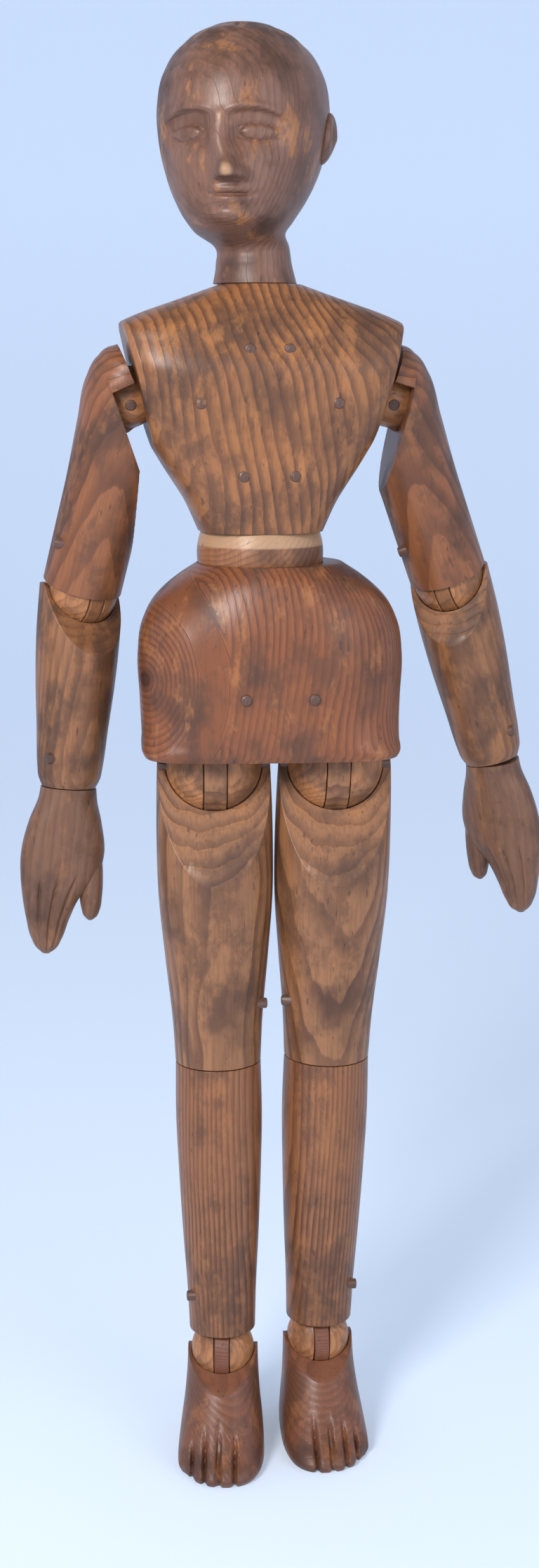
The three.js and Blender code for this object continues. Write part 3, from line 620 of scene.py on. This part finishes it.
def wood(name, place, pith, early, late, lean=(0, 0), spacing=2.6, contrast=0.8, grime=0.45, wobble=5.0,
         rub=0.25, knot=None, bare_spot=None, raw_above=None, seed=0.0):
    """Colour = early wood + growth lines times contrast (late - early), then the layers of age.
    lean is the pith's slant, knot is (x, z, reach), bare_spot is (x, y, z, size), and above raw_above the
    wood is left raw."""
    material = bpy.data.materials.new(name)
    material.use_nodes = True
    material.node_tree.nodes.clear()
    start = Wire(material.node_tree, None)
    grain, point = own_frame(start, place, seed)
    away = span(point[0] - knot[0], (point[2] - knot[1]) * KNOT_SQUASH) if knot else None
    line = growth_lines(grain, point, pith, lean, spacing, wobble, away, knot)
    patchy = grain.along_grain(0.6).noise(0.035, 4.0, 0.62)
    streaks = grain.along_grain(0.045).noise(0.9, 3.0, 0.6)
    worn = grain.along_grain(0.5).noise(0.09, 5.0, 0.7).step(0.54, 0.68) * rub
    fade = grain.noise(0.018, 2.0).step(0.36, 0.6) * 0.45 + 0.55
    base = (line * contrast * fade).blend(early, late)
    base = stained(grain, base, streaks, patchy, grime, worn)
    if raw_above is not None:
        raw = point[2].step(raw_above - RAW_EDGE, raw_above + RAW_EDGE) * RAW_SHARE
        base = raw.blend(base, RAW)
    base = base.tint(AGED)
    if bare_spot:
        base = bared(base, point, bare_spot)
    base = specked(grain, base)
    if knot:
        base = ((1 - away.step(1.2, 4.0)) * HEART_SHARE).blend(base, HEART)
    gloss = ROUGHNESS + patchy.step(0.45, 0.7) * GRIME_DULLS - worn * RUB_SHINES
    height = streaks * 0.35 - line * 0.5 + patchy * 0.3
    ridges = start.node("ShaderNodeBump", Strength=BUMP_STRENGTH, Distance=BUMP_DEPTH, Height=height)
    shader = start.node("ShaderNodeBsdfPrincipled", Base_Color=base, Roughness=gloss, Normal=ridges,
                        Specular_IOR_Level=SPECULAR, Coat_Weight=WAX_COAT, Coat_Roughness=WAX_ROUGHNESS)
    start.node("ShaderNodeOutputMaterial", Surface=shader)
    return material


print("waxed wood has a roughness of about", ROUGHNESS)

# %% [markdown]
# The chest is one block: narrow where it sits on the waist ball, broad and squarish at the shoulders. It
# could be a cube with loops cut in it, but stacked sections keep its curve even. The sides are then sawn
# flat and sloping where the arms hang, and the growth lines run wide and slanting down its front.

# %% Chest
WAIST_RADIUS = 26.5
SHOULDER_SPREAD = 55
SHOULDER_RISE = 64
SHOULDER_DROP = 5
SHOULDER_SLOPE = math.radians(14)
TRUNK_COLUMNS = 144
CHEST = [
    (9.3, 25.8, 25.5, 0, 0, 2.6), (21, 31, 28, 0, 0, 2.8), (37, 41, 30.5, 0, 0, 3),
    (52, 49.6, 32, 0, 0, 3.2), (65, 55.4, 33, 0, 0, 3.4), (76, 59.5, 33.2, 0, 0, 3.6),
    (86, 61, 29.5, 0, 0, 3.6), (92.5, 60, 26.5, 0, 0, 3.4), (97, 51, 24, 0, 0, 3),
    (103, 34, 20.5, 0, 0, 2.5), (109, 17, 17),
]

chest_skin = limb(CHEST, bottom=(WAIST_RADIUS, 0), count=110, columns=TRUNK_COLUMNS)
for side, sign in SIDES:
    inward = np.array([-sign * math.cos(SHOULDER_SLOPE), 0, math.sin(SHOULDER_SLOPE)])
    sawn = np.array([sign * SHOULDER_SPREAD, 0, SHOULDER_RISE]) + SHOULDER_DROP * inward
    chest_skin = trim(chest_skin, sawn, -inward)
chest_wood = wood("chest wood", places["chest"], pith=(64, 22), lean=(-0.1, -0.3), spacing=4.1, contrast=0.8,
                  early=srgb(178, 118, 72), late=srgb(92, 62, 46), grime=0.5, rub=0.4, wobble=7, seed=31)
carve("chest_block", [chest_skin], places["chest"], chest_wood, "chest")
print("chest:", np.ptp(chest_skin, (0, 1)).round(1), "mm wide, deep and high")

# %% [markdown]
# The pelvis is a rounded block with a flat base, which is squarer than the rest. A branch once grew out
# of its side, so a knot's small rings push the growth lines apart there. A second texture could be
# painted in for the knot, but bending the distance from the pith joins both sets of rings without a
# seam.

# %% Pelvis
PELVIS = [
    (-84, 53.6, 33, 4, 0, 4.6), (-82.5, 54.4, 33.8, 4, 0, 4.6), (-77, 54.5, 34.8, 4, 0, 3.5),
    (-70, 54.8, 35.8, 4, 0, 2.8), (-60, 55.2, 36.7, 4, 0, 2.6), (-42, 55.8, 37.9, 4, 0, 2.5),
    (-28, 53.6, 37.4, 4, 0, 2.4), (-17, 47.4, 35.2, 4, 0, 2.3), (-9, 38.2, 32.3, 4, 0, 2.2),
    (-4, 30.5, 29, 4, 0, 2.1),
]
PELVIS_KNOT = (-49, -51, 36)

pelvis_skin = limb(PELVIS, top=(WAIST_RADIUS, ()), count=90, columns=TRUNK_COLUMNS)
pelvis_wood = wood("pelvis wood", places["pelvis"], pith=(70, 26), lean=(0.02, 0.03), spacing=2.3,
                   contrast=0.7, early=srgb(158, 94, 56), late=srgb(92, 54, 38), grime=0.5, rub=0.4,
                   knot=PELVIS_KNOT, seed=7)
carve("pelvis_block", [pelvis_skin], places["pelvis"], pelvis_wood, "pelvis")
print("pelvis:", np.ptp(pelvis_skin, (0, 1)).round(1), "mm wide, deep and high")

# %% [markdown]
# A large turned ball joins chest and pelvis, and a tenon on it runs up into the chest. Only a band of it
# shows: brown below, and raw and pale above, where the chest has kept light and wax off it. Two
# materials would need a cut in the mesh, so the one recipe turns pale above a height instead.

# %% Waist ball
TENON_SUNK = 1.2
WAIST_TENON = (10.4, 45)
RAW_BAND = 3.5

waist_wood = wood("waist wood", places["waist_ball"], pith=(30, 8), lean=(1.5, 0), spacing=3, contrast=0.5,
                  early=srgb(176, 118, 76), late=srgb(128, 80, 52), grime=0.3, raw_above=RAW_BAND, seed=4)
waist_skins = [globe(WAIST_RADIUS), post(WAIST_TENON[0], WAIST_RADIUS - TENON_SUNK, WAIST_TENON[1])]
carve("waist_turned_ball", waist_skins, places["waist_ball"], waist_wood, "waist_ball")
print("waist ball: radius", WAIST_RADIUS, "mm")

# %% [markdown]
# The head is one block with its neck, and the plainest of faces is carved in its front. It could be
# sculpted with a brush, but then nobody could say how deep a cut is. Each feature is a sum of smooth
# bumps that push the egg shape in or out: hollow sockets with almond eyes and a brow, a wedge of a nose,
# a thin mouth and a chin.

# %% Face
BROW_HEIGHT = 64.8
EYE_APART = 14.5
EYE_HEIGHT = 56.2
NOSE_TOP = 66
NOSE_LENGTH = 26
NOSE_TIP = 42
MOUTH_HEIGHT = 33
CHIN_HEIGHT = 23


def bump(u, v=0.0):
    """exp(-u^2 - v^2)"""
    return np.exp(-u * u - v * v)


def ramp(value, low, high):
    """Smooth rise from 0 at low to 1 at high: t^2 (3 - 2t)."""
    t = np.clip((value - low) / (high - low), 0, 1)
    return t * t * (3 - 2 * t)


def eyes(wide, z):
    """Sockets below an arch that falls with the square of the distance from its top, a brow along the
    arch, and in each socket an almond, whose edge is at almond = 1, with a groove round it."""
    arch = BROW_HEIGHT - 0.024 * (wide - 12) ** 2
    socket = ramp(arch - z, -1, 1.6) * ramp(z, 45, 55) * ramp(wide, 2, 6.5) * ramp(-wide, -28, -19)
    lid = 2.9 - 0.9 * ramp(wide, 14, 22)
    almond = np.hypot((wide - EYE_APART) / 6.8, (z - EYE_HEIGHT) / lid)
    brow = bump((wide - 13) / 10, (z - arch - 1.4) / 1.7)
    groove = bump((almond - 1.15) / 0.18)
    return 1.5 * np.exp(-almond**4) + 0.8 * brow - 3.0 * socket - 0.8 * groove


def nose(x, z):
    """A ridge whose height grows as q^1.3 and its width as q, from q = 0 at its top to 1 at its end."""
    q = np.clip((NOSE_TOP - z) / NOSE_LENGTH, 0, 1)
    ridge = (0.4 + 6.2 * q**1.3) * np.exp(-np.abs(x / (2.4 + 2.9 * q)) ** 2.6) * ramp(-z, -68, -62)
    tip = 1.9 * bump(x / 4.4, (z - NOSE_TIP) / 3.4)
    nostrils = 1.8 * bump((np.abs(x) - 5.6) / 2, (z - NOSE_TIP + 1.6) / 2.2)
    return (ridge + tip) * ramp(z, 37, 39.6) + nostrils


def mouth(x, z):
    """Two lips, a thin cut between them, and a chin with a dip above it."""
    upper_lip = 1.1 * bump(x / 8, (z - MOUTH_HEIGHT - 2) / 1.5)
    lower_lip = 1.4 * bump(x / 7, (z - MOUTH_HEIGHT + 2) / 1.9)
    cut = 1.5 * np.exp(-(x / 8) ** 4 - ((z - MOUTH_HEIGHT) / 0.65) ** 2)
    chin = 2.2 * bump(x / 10, (z - CHIN_HEIGHT) / 4.5) - 1.0 * bump(x / 9, (z - CHIN_HEIGHT - 4.8) / 1.8)
    return upper_lip + lower_lip - cut + chin


print("the nose stands out by", round(float(nose(0.0, NOSE_TIP)), 1), "mm at its tip")

# %% [markdown]
# The face looks a little aside on the block, as hand carving does, so its middle and that of the ears
# differ from the head's. The ears are flat eggs with a hollow, let into the sides. The nose is rubbed
# down to bare wood, and a short slit has opened in the crown.

# %% Head
HEAD_MIDDLE = -7
FACE_MIDDLE = -3
EYES_ASIDE = 4.4
EAR_MIDDLE = -5.6
EAR_REACH = 33.2
EAR_BACK = 5
EAR_HEIGHT = 57
EAR_LEAN = 0.14
EAR_TUCK = 0.3
CROWN = 90
SLIT_DEPTH = 1.6
NECK_TENON = (8, -36, 4)
BARE_NOSE = (FACE_MIDDLE, -49, 41.5, 5.5)
HEAD = [
    (0.4, 17.2, 16.6, -2.5, 2), (8, 15.6, 15.8, -2.9, 2), (15.5, 15.4, 16.4, -3.8, 1), (20, 18, 22, -7, -4),
    (24.5, 21.2, 28, -7, -6), (32.5, 26, 34, -7, -4), (44, 30.8, 39, -7, -0.5), (57, 33.8, 41, -7, 1),
    (70, 34.4, 41.5, -7, 2), (82, 31.8, 38, -7, 2), (92, 25, 30, -7, 2), (99, 14.5, 18, -7, 2),
    (101.2, 7.6, 9.5, -7, 2), (102, 1, 1.2, -7, 2),
]


def face(skin):
    """Moves the front of the head along -y by the sum of its features, and the crown's slit along -z."""
    x0, y, z = (skin[..., k] for k in range(3))
    x = x0 - FACE_MIDDLE + EYES_ASIDE * ramp(z, 40, 56)
    front = ramp(-y, 4, 20) * ramp(z, 15, 20)
    slit = SLIT_DEPTH * bump((x0 - HEAD_MIDDLE - 1.6) / 0.6, (y + 15) / 2.5) * (z > CROWN)
    features = eyes(np.abs(x), z) + nose(x, z) + mouth(x, z)
    return np.stack([x0, y - features * front, z - slit], -1)


def ear(sign):
    """Egg with half sizes 3.6, about 6.6 and 10.2, hollowed by a bump on its outer side."""
    v = np.linspace(0, math.pi, 40)[:, None]
    u = np.linspace(0, 2 * math.pi, 72, endpoint=False)
    x = 3.6 * np.sin(v) * np.cos(u)
    y = (6.6 + 1.2 * np.cos(v)) * np.sin(v) * np.sin(u)
    z = 10.2 * np.cos(v) + 0 * u
    hollow = 2.4 * bump((y + 0.8) / 3.3, (z - 1.2) / 5.6) * (x > 0)
    outward = EAR_REACH + x - hollow + EAR_TUCK * np.minimum(z, 0)
    return np.stack([EAR_MIDDLE + sign * outward, EAR_BACK + y + EAR_LEAN * z, EAR_HEIGHT + z], -1)


head_skin = face(limb(HEAD, count=230, columns=256))
head_wood = wood("head wood", places["head"], pith=(12, 30), lean=(0.05, 0.1), spacing=2.1, contrast=0.4,
                 early=srgb(144, 104, 84), late=srgb(94, 68, 58), grime=0.62, rub=0.5, seed=18,
                 bare_spot=BARE_NOSE)
head_skins = [head_skin, ear(-1), ear(1), post(*NECK_TENON)]
carve("head_block", head_skins, places["head"], head_wood, "head", bevel=0)
print("head with", head_skin.shape[0] * head_skin.shape[1], "points in its skin")

# %% [markdown]
# Every joint of the limbs has the same kind of ball, in its own size: a radius, the width of its slot,
# and the radius and reach of its tenon. Ten balls could be modelled one by one, but a table keeps each
# tongue as wide as the slot in which it turns. Balls rub against the cups, so their wood is paler than
# the limbs.

# %% Balls
BALL_RADIUS = {"shoulder": 12.5, "elbow": 15.5, "hip": 20.5, "knee": 16, "ankle": 14}
SLOT_WIDTH = {"shoulder": 6.5, "elbow": 6.5, "hip": 9.6, "knee": 8, "ankle": 6.5}
TENON = {"shoulder": (8.5, 33), "elbow": (8, 31), "hip": (12, 44), "knee": (9, 38), "ankle": (7.5, 35)}
SLOT_PLAY = 0.35


def ball_tongue(part):
    """The tongue that fits the slot of this joint's ball."""
    return tongue(BALL_RADIUS[part], SLOT_WIDTH[part])


def turn_ball(side, sign, part):
    """Two cheeks, half a slot apart from the middle, and a tenon sunk a little into the ball."""
    name = f"{side}_{part}_ball"
    radius = BALL_RADIUS[part]
    gap = SLOT_WIDTH[part] / 2 + SLOT_PLAY
    thick, reach = TENON[part]
    skins = [cheek(radius, gap, 1), cheek(radius, gap, -1), post(thick, radius - TENON_SUNK, reach)]
    material = wood(name + " wood", places[name], pith=(6, -3), lean=(0.2, 0.1), spacing=1.9,
                    contrast=0.6, early=srgb(206, 140, 88), late=srgb(140, 88, 54), grime=0.3, rub=0.35,
                    seed=radius + sign)
    return carve(name + "_turned", skins, places[name], material, name)


for side, sign in SIDES:
    for part in BALL_RADIUS:
        turn_ball(side, sign, part)
print(len(SIDES) * len(BALL_RADIUS), "slotted balls")

# %% [markdown]
# The upper arm is a turned rod with a round head that hangs beside its ball, so the inner side of that
# head is pared away: two flats leave room for the chest when the arm swings, and a scoop lets the ball
# in. A boolean with the ball would leave a sharp crater. Trimming by planes gives the clean flats of a
# chisel.

# %% Upper arms
UPPER_ARM = [
    (21, 1, 1), (20.4, 5.5, 6), (18.5, 10.5, 11), (13, 15.5, 15.5), (4, 18, 18), (-14, 17.6, 18.2),
    (-38, 16.8, 18), (-60, 16.8, 17.4), (-83, 16.8, 17),
]
UPPER_ARM_LENGTH = 86
ARM_FLEX = {"right": 63.5, "left": 55.5}
FLAT_TURNS = (16, -8)
FLAT_OFFSET = 4.6
SCOOP_SLOPE = 58
SCOOP_OFFSET = -5.5
SCOOP_TOP = 10


def towards_trunk(sign, degrees):
    """Direction in the arm's x, z plane: (-sign sin w, 0, cos w)."""
    w = math.radians(degrees)
    return np.array([-sign * math.sin(w), 0, math.cos(w)])


def upper_arm(side, sign):
    """Rod with flats and a scoop, each a plane at an offset along its normal, and a tongue across it."""
    skin = limb(UPPER_ARM, bottom=(BALL_RADIUS["elbow"], -UPPER_ARM_LENGTH), count=120)
    for turn in FLAT_TURNS:
        normal = towards_trunk(sign, ARM_FLEX[side] + turn)
        skin = trim(skin, FLAT_OFFSET * normal, normal)
    normal = towards_trunk(sign, SCOOP_SLOPE)
    skin = trim(skin, SCOOP_OFFSET * normal, normal, where=skin[..., 2] < SCOOP_TOP)
    disc = ball_tongue("shoulder")
    return [skin, np.stack([-disc[..., 1], disc[..., 0], disc[..., 2]], -1)]


for side, sign in SIDES:
    name = side + "_upper_arm"
    material = wood(name + " wood", places[name], pith=(sign * 3, 26), lean=(0.02, -0.16), spacing=3.6,
                    contrast=0.75, early=srgb(162, 102, 64), late=srgb(98, 60, 42), wobble=6, seed=12 + sign)
    carve(name + "_rod", upper_arm(side, sign), places[name], material, name)
print("upper arms:", UPPER_ARM_LENGTH, "mm from shoulder to elbow")

# %% [markdown]
# The forearm tapers to the wrist. At the elbow its front is cut away steeply, so that the arm can fold
# up, and the cut shows the ball as on the real figure. It could be cut square with less trouble, but
# then it would not bend.

# %% Forearms
FOREARM = [
    (2.6, 17.6, 17.6), (-18, 17.8, 17.8), (-38, 17, 17), (-58, 15.4, 15.2), (-76, 14, 13.6), (-80, 13.4, 13),
    (-84, 11.6, 11.2),
]
ELBOW_CUT = (58, 1, 1)

for side, sign in SIDES:
    name = side + "_forearm"
    material = wood(name + " wood", places[name], pith=(sign * 6, 34), lean=(0.05, -0.12), spacing=3.0,
                    contrast=0.65, early=srgb(164, 112, 72), late=srgb(104, 70, 52), grime=0.5, wobble=6,
                    seed=22 + sign)
    skins = [limb(FOREARM, top=(BALL_RADIUS["elbow"], [ELBOW_CUT])), ball_tongue("elbow")]
    carve(name + "_rod", skins, places[name], material, name)
print("forearms: cut at", ELBOW_CUT[0], "degrees")

# %% [markdown]
# The hand is a flat mitten with a thumb, and three shallow lines stand for the gaps between the fingers.
# Separate fingers could be made, but a carver of such a figure leaves them in one piece, because thin
# ones break. A tenon runs up into the forearm, so the hand can only swivel.

# %% Hands
HAND = [
    (-73.5, 1.5, 1.6, -5.4), (-71.5, 4, 3.8, -5.4), (-67, 6.6, 5.2, -5.6, 0, 2.2),
    (-58, 9.4, 6.4, -5.6, 0, 2.3), (-48, 12.6, 7.4, -4.6, 0, 2.3), (-40, 16.4, 8.2, -2, 0, 2.3),
    (-30, 18, 8.8, -0.8, 0, 2.3), (-15, 15.6, 9.8, -0.4, 0, 2.2), (-5, 12.6, 10.6), (-0.4, 12, 10.6),
]
THUMB = [
    (-58.5, 0.8, 0.9, 13), (-57, 2.6, 2.8, 13), (-54, 3.9, 4.2, 13), (-47, 5, 5.2, 12.6),
    (-38, 5.6, 5.6, 11.8), (-24, 5, 5, 10.5),
]
FINGER_SPREAD = ([36, 48, 58, 67, 74], [8, 6.1, 4.6, 3.2, 1.5])
FINGER_MIDDLE = ([36, 48, 58, 74], [-2.5, -4.6, -5.6, -5.4])
FINGER_LINE = 0.75
FINGER_DEPTH = 0.16
HAND_LEAN = {"right": 0, "left": 7}
WRIST_GAP = 0.4
WRIST_TENON = (6, -3, 21)


def palm_skin():
    """Mitten whose depth is lessened along three lines: y (1 - depth times the sum of the lines' bumps)."""
    palm = limb(HAND, count=110, columns=192)
    down = -palm[..., 2]
    spread = np.interp(down, *FINGER_SPREAD)
    middle = np.interp(down, *FINGER_MIDDLE)
    lines = sum(bump((palm[..., 0] - middle - k * spread) / FINGER_LINE) for k in (-1, 0, 1))
    palm[..., 1] *= 1 - FINGER_DEPTH * np.minimum(lines, 1) * ramp(down, 36, 44)
    return palm


def hand(side, sign):
    """Palm and thumb leaned in the x, z plane: x cos w + z sin w, z cos w - x sin w, cut level on top."""
    w = math.radians(HAND_LEAN[side])
    skins = []
    for skin in (palm_skin(), limb(THUMB, count=40, columns=48)):
        x = -sign * skin[..., 0]
        y = skin[..., 1]
        z = skin[..., 2]
        leaned = np.stack([x * math.cos(w) + z * math.sin(w), y, z * math.cos(w) - x * math.sin(w)], -1)
        skins.append(trim(leaned, -WRIST_GAP * UP, UP))
    return skins + [post(*WRIST_TENON)]


for side, sign in SIDES:
    name = side + "_hand"
    material = wood(name + " wood", places[name], pith=(sign * 30, 20), lean=(0.1, 0), spacing=3.2,
                    contrast=0.45, early=srgb(138, 98, 72), late=srgb(92, 66, 54), grime=0.55, seed=42 + sign)
    carve(name + "_mitten", hand(side, sign), places[name], material, name, bevel=0)
print("hands:", round(-min(HAND)[0]), "mm long")

# %% [markdown]
# Thigh and shin are the longest turned rods. The thigh's front is cut away at the hip, so that the leg
# can rise, and the shin's back at the knee, so that it folds behind. The thigh is sawn near the log's
# middle, which gives broad arches, and the shin away from it, which gives fine straight lines. Both come
# from one recipe, with the pith moved.

# %% Thighs and shins
THIGH = [
    (5.3, 24, 22.8), (-10, 24.6, 23.4), (-32, 25, 24), (-55, 24.7, 23.8), (-85, 22.2, 21.6),
    (-112, 19.6, 19.6), (-130.5, 18.6, 18.8),
]
SHIN = [
    (2.6, 18.6, 18.8), (-22, 18.9, 19.2), (-48, 18.1, 18.6), (-78, 16.7, 17), (-104, 15.2, 15.4),
    (-121, 14.6, 14.8),
]
THIGH_LENGTH = 133.5
SHIN_LENGTH = 131.5
HIP_CUT = (65, 1, 1)
KNEE_CUT = (70, 1, -1)

for side, sign in SIDES:
    name = side + "_thigh"
    material = wood(name + " wood", places[name], pith=(sign * 2, 29), lean=(0.01, 0.06 * sign), spacing=3.4,
                    contrast=0.9, early=srgb(172, 120, 80), late=srgb(104, 68, 48), grime=0.38, wobble=9,
                    seed=52 + sign)
    rod = limb(THIGH, top=(BALL_RADIUS["hip"], [HIP_CUT]), bottom=(BALL_RADIUS["knee"], -THIGH_LENGTH))
    carve(name + "_rod", [rod, ball_tongue("hip")], places[name], material, name)
    name = side + "_shin"
    material = wood(name + " wood", places[name], pith=(sign * 56, 8), lean=(0.01, 0.02), spacing=2.1,
                    contrast=0.95, early=srgb(168, 110, 70), late=srgb(92, 58, 42), wobble=2.5,
                    seed=62 + sign)
    rod = limb(SHIN, top=(BALL_RADIUS["knee"], [KNEE_CUT]), bottom=(BALL_RADIUS["ankle"], -SHIN_LENGTH))
    carve(name + "_rod", [rod, ball_tongue("knee")], places[name], material, name)
print("thighs", THIGH_LENGTH, "mm and shins", SHIN_LENGTH, "mm from ball to ball")

# %% [markdown]
# The foot is a wedge with a flat sole, hollowed above for the ankle ball. Four lines carved back from
# the front edge part the toes, and the great toe is the widest. A bump in the material could draw these
# lines, but the edge of the toes is seen in outline, so they are cut in the mesh.

# %% Feet
FOOT = [
    (0.5, 15.6, 16.5, 0, 1.5), (-10, 16, 19.5, 0, -0.5), (-20, 16.8, 24, 0, -3.5, 2.2, 0.04),
    (-28, 17.8, 28.2, 0, -6.2, 2.4, 0.08), (-34, 18.4, 31.7, 0, -8.7, 2.6, 0.1),
    (-38, 18.6, 34.2, 0, -10.7, 2.8, 0.11), (-41, 18.5, 35, 0, -11.5, 2.8, 0.11),
    (-43.5, 17.4, 33.4, 0, -11.5, 2.8, 0.11),
]
ANKLE_CUTS = [(32, 0.5, 1), (40, 3, -1)]
TOE_LINES = (-6.5, 0.5, 6.5, 12.0)
TOE_LINE = 0.9
TOE_CUT_BACK = 2.6
TOE_CUT_DOWN = 2.0
TOE_ROUND = 0.012


def foot(sign):
    """Wedge moved back and down by each line's bump, and back by the square of x + 4 to the outer side."""
    skin = limb(FOOT, top=(BALL_RADIUS["ankle"], ANKLE_CUTS), count=90, columns=256)
    x, y, z = (skin[..., k].copy() for k in range(3))
    outer = sign * x
    toes = ramp(-y, 30, 40)
    lines = np.minimum(sum(bump((outer - line) / TOE_LINE) for line in TOE_LINES), 1)
    skin[..., 1] += TOE_CUT_BACK * lines * toes + TOE_ROUND * toes * np.maximum(outer + 4, 0) ** 2
    skin[..., 2] -= TOE_CUT_DOWN * lines * ramp(-y, 27, 36) * ramp(z, -41, -35)
    return skin


for side, sign in SIDES:
    name = side + "_foot"
    material = wood(name + " wood", places[name], pith=(sign * 8, 40), lean=(0.2, 1.8), spacing=2.4,
                    contrast=0.55, early=srgb(146, 92, 66), late=srgb(90, 56, 44), grime=0.55, wobble=3,
                    seed=72 + sign)
    skins = [foot(sign), ball_tongue("ankle")]
    carve(name + "_block", skins, places[name], material, name, bevel=0)
print("feet with", len(TOE_LINES) + 1, "toes")

# %% [markdown]
# Small round pegs keep the tenons in the blocks, and a pin runs through each ball. They could be placed
# by hand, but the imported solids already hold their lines. The longest direction of each solid, found by
# a singular value decomposition of its points, is the rod's axis, and a domed rod is turned along it.

# %% Pegs and pins
PEG_DOME = 0.3
made = 0
for node, solid in frame["nodes"].items():
    if not node.endswith(("_peg", "_pin")):
        continue
    points = np.empty(len(solid.data.vertices) * 3)
    solid.data.vertices.foreach_get("co", points)
    points = points.reshape(-1, 3) / MM
    centre = (points.max(0) + points.min(0)) / 2
    along = np.linalg.svd(points - centre)[2][0]
    heights = (points - centre) @ along
    thick = np.linalg.norm(points - centre - heights[:, None] * along, axis=1).max()
    place = set_place(centre, np.roll(along, 1) + 0.1, along)
    material = wood(node + " wood", place, pith=(1, 1), spacing=1.2, contrast=0.5, grime=0.4,
                    early=srgb(112, 82, 68), late=srgb(72, 54, 48), seed=float(np.abs(centre[0])))
    rod = post(thick, heights.min(), heights.max(), PEG_DOME)
    carve(node + "_rod", [rod], place, material, node, bevel=0)
    made += 1
print(made, "pegs and pins")

# %% [markdown]
# The figure stands on pale paper that rises far round it in one curve, so no corner shows from any side.
# A plane and a wall would be simpler, but a view from behind would meet the wall. The paper glows a
# little, which keeps it pale without more light on the wood.

# %% Paper
PAPER = srgb(206, 217, 232)
PAPER_GLOW = 0.36
PAPER_ROUGHNESS = 0.9
FLOOR_RADIUS = 2.4
CURVE_RADIUS = 0.8
WALL_TOP = 3.4


def paper_bowl():
    """Floor that rises into a wall all round: a path in r and z, with a quarter circle, turned about z."""
    turn = np.linspace(-math.pi / 2, 0, 24)
    wall = FLOOR_RADIUS + CURVE_RADIUS
    r = np.concatenate([[0.001, 1.2], FLOOR_RADIUS + CURVE_RADIUS * np.cos(turn), [wall]])
    z = np.concatenate([[0.0, 0.0], CURVE_RADIUS + CURVE_RADIUS * np.sin(turn), [WALL_TOP]])
    row = np.arange(len(r) - 1)[:, None] * COLUMNS
    ring = np.arange(COLUMNS)
    after = (ring + 1) % COLUMNS
    quads = np.stack([row + ring, row + COLUMNS + ring, row + COLUMNS + after, row + after], -1)
    mesh = bpy.data.meshes.new("bowl")
    mesh.from_pydata(spin(r, z).reshape(-1, 3).tolist(), [], quads.reshape(-1, 4).tolist())
    mesh.shade_smooth()
    paper = bpy.data.materials.new("pale paper")
    paper.use_nodes = True
    inputs = paper.node_tree.nodes["Principled BSDF"].inputs
    inputs["Base Color"].default_value = PAPER
    inputs["Emission Color"].default_value = PAPER
    inputs["Emission Strength"].default_value = PAPER_GLOW
    inputs["Roughness"].default_value = PAPER_ROUGHNESS
    mesh.materials.append(paper)
    bowl = bpy.data.objects.new("bowl", mesh)
    bpy.context.collection.objects.link(bowl)
    return bowl


bowl = paper_bowl()
print("paper with", len(bowl.data.polygons), "faces")

# %% [markdown]
# A large soft lamp stands near the camera at its left and models the forms, and a weaker one at the
# right opens the shadows. A single sun would be simpler, but its hard shadows hide the carving. The
# world adds a cool, even light, as a pale room does.

# %% Lights
WORLD_COLOR = (0.9, 0.94, 1.0, 1)
WORLD_STRENGTH = 0.36


def soft_light(name, location, target, size, watts, color):
    """Square lamp at a location, turned so that its -z axis points at the target."""
    lamp = bpy.data.lights.new(name, "AREA")
    lamp.size = size
    lamp.energy = watts
    lamp.color = color
    light = bpy.data.objects.new(name, lamp)
    light.location = location
    light.rotation_euler = (Vector(target) - Vector(location)).to_track_quat("-Z", "Y").to_euler()
    bpy.context.collection.objects.link(light)
    return light


key = soft_light("key", (-0.55, -1.1, 0.95), (0, 0, 0.33), size=0.36, watts=16, color=(1.0, 0.97, 0.94))
fill_light = soft_light("fill", (0.9, -0.9, 0.7), (0, 0, 0.3), size=0.9, watts=4.5, color=(0.97, 0.98, 1.0))
world = bpy.data.worlds.new("studio")
world.use_nodes = True
sky = world.node_tree.nodes["Background"].inputs
sky["Color"].default_value = WORLD_COLOR
sky["Strength"].default_value = WORLD_STRENGTH
bpy.context.scene.world = world
print("lamps of", key.data.energy, "and", fill_light.data.energy, "watts")

# %% [markdown]
# The camera stands at the height of the chest and looks slightly down, as in the photograph. It could be
# aimed by eye, but a measured distance, height and tilt are easy to repeat. The lens follows from the
# picture's height in pixels and the focal length in the same pixels.

# %% Camera
CAMERA_BACK = 856
CAMERA_HEIGHT = 476
CAMERA_TILT = 11.65
CAMERA_ASIDE = 2
FOCAL_PIXELS = 2900
PICTURE_PIXELS = 2235
SENSOR = 36

lens = bpy.data.cameras.new("camera")
lens.sensor_fit = "VERTICAL"
lens.sensor_height = SENSOR
lens.lens = SENSOR * (FOCAL_PIXELS / PICTURE_PIXELS)
camera = bpy.data.objects.new("camera", lens)
between_hips = (spot("right_hip_hinge") + spot("left_hip_hinge")) / 2 * LEVEL
middle = between_hips - CAMERA_ASIDE * places["pelvis"][1][:, 0]
camera.location = (middle + [0, -CAMERA_BACK, CAMERA_HEIGHT]) * MM
camera.rotation_euler = (math.radians(90 - CAMERA_TILT), 0, 0)
bpy.context.collection.objects.link(camera)
bpy.context.scene.camera = camera
bpy.context.scene.view_settings.view_transform = "Standard"
print("camera at", [round(value, 4) for value in camera.location])
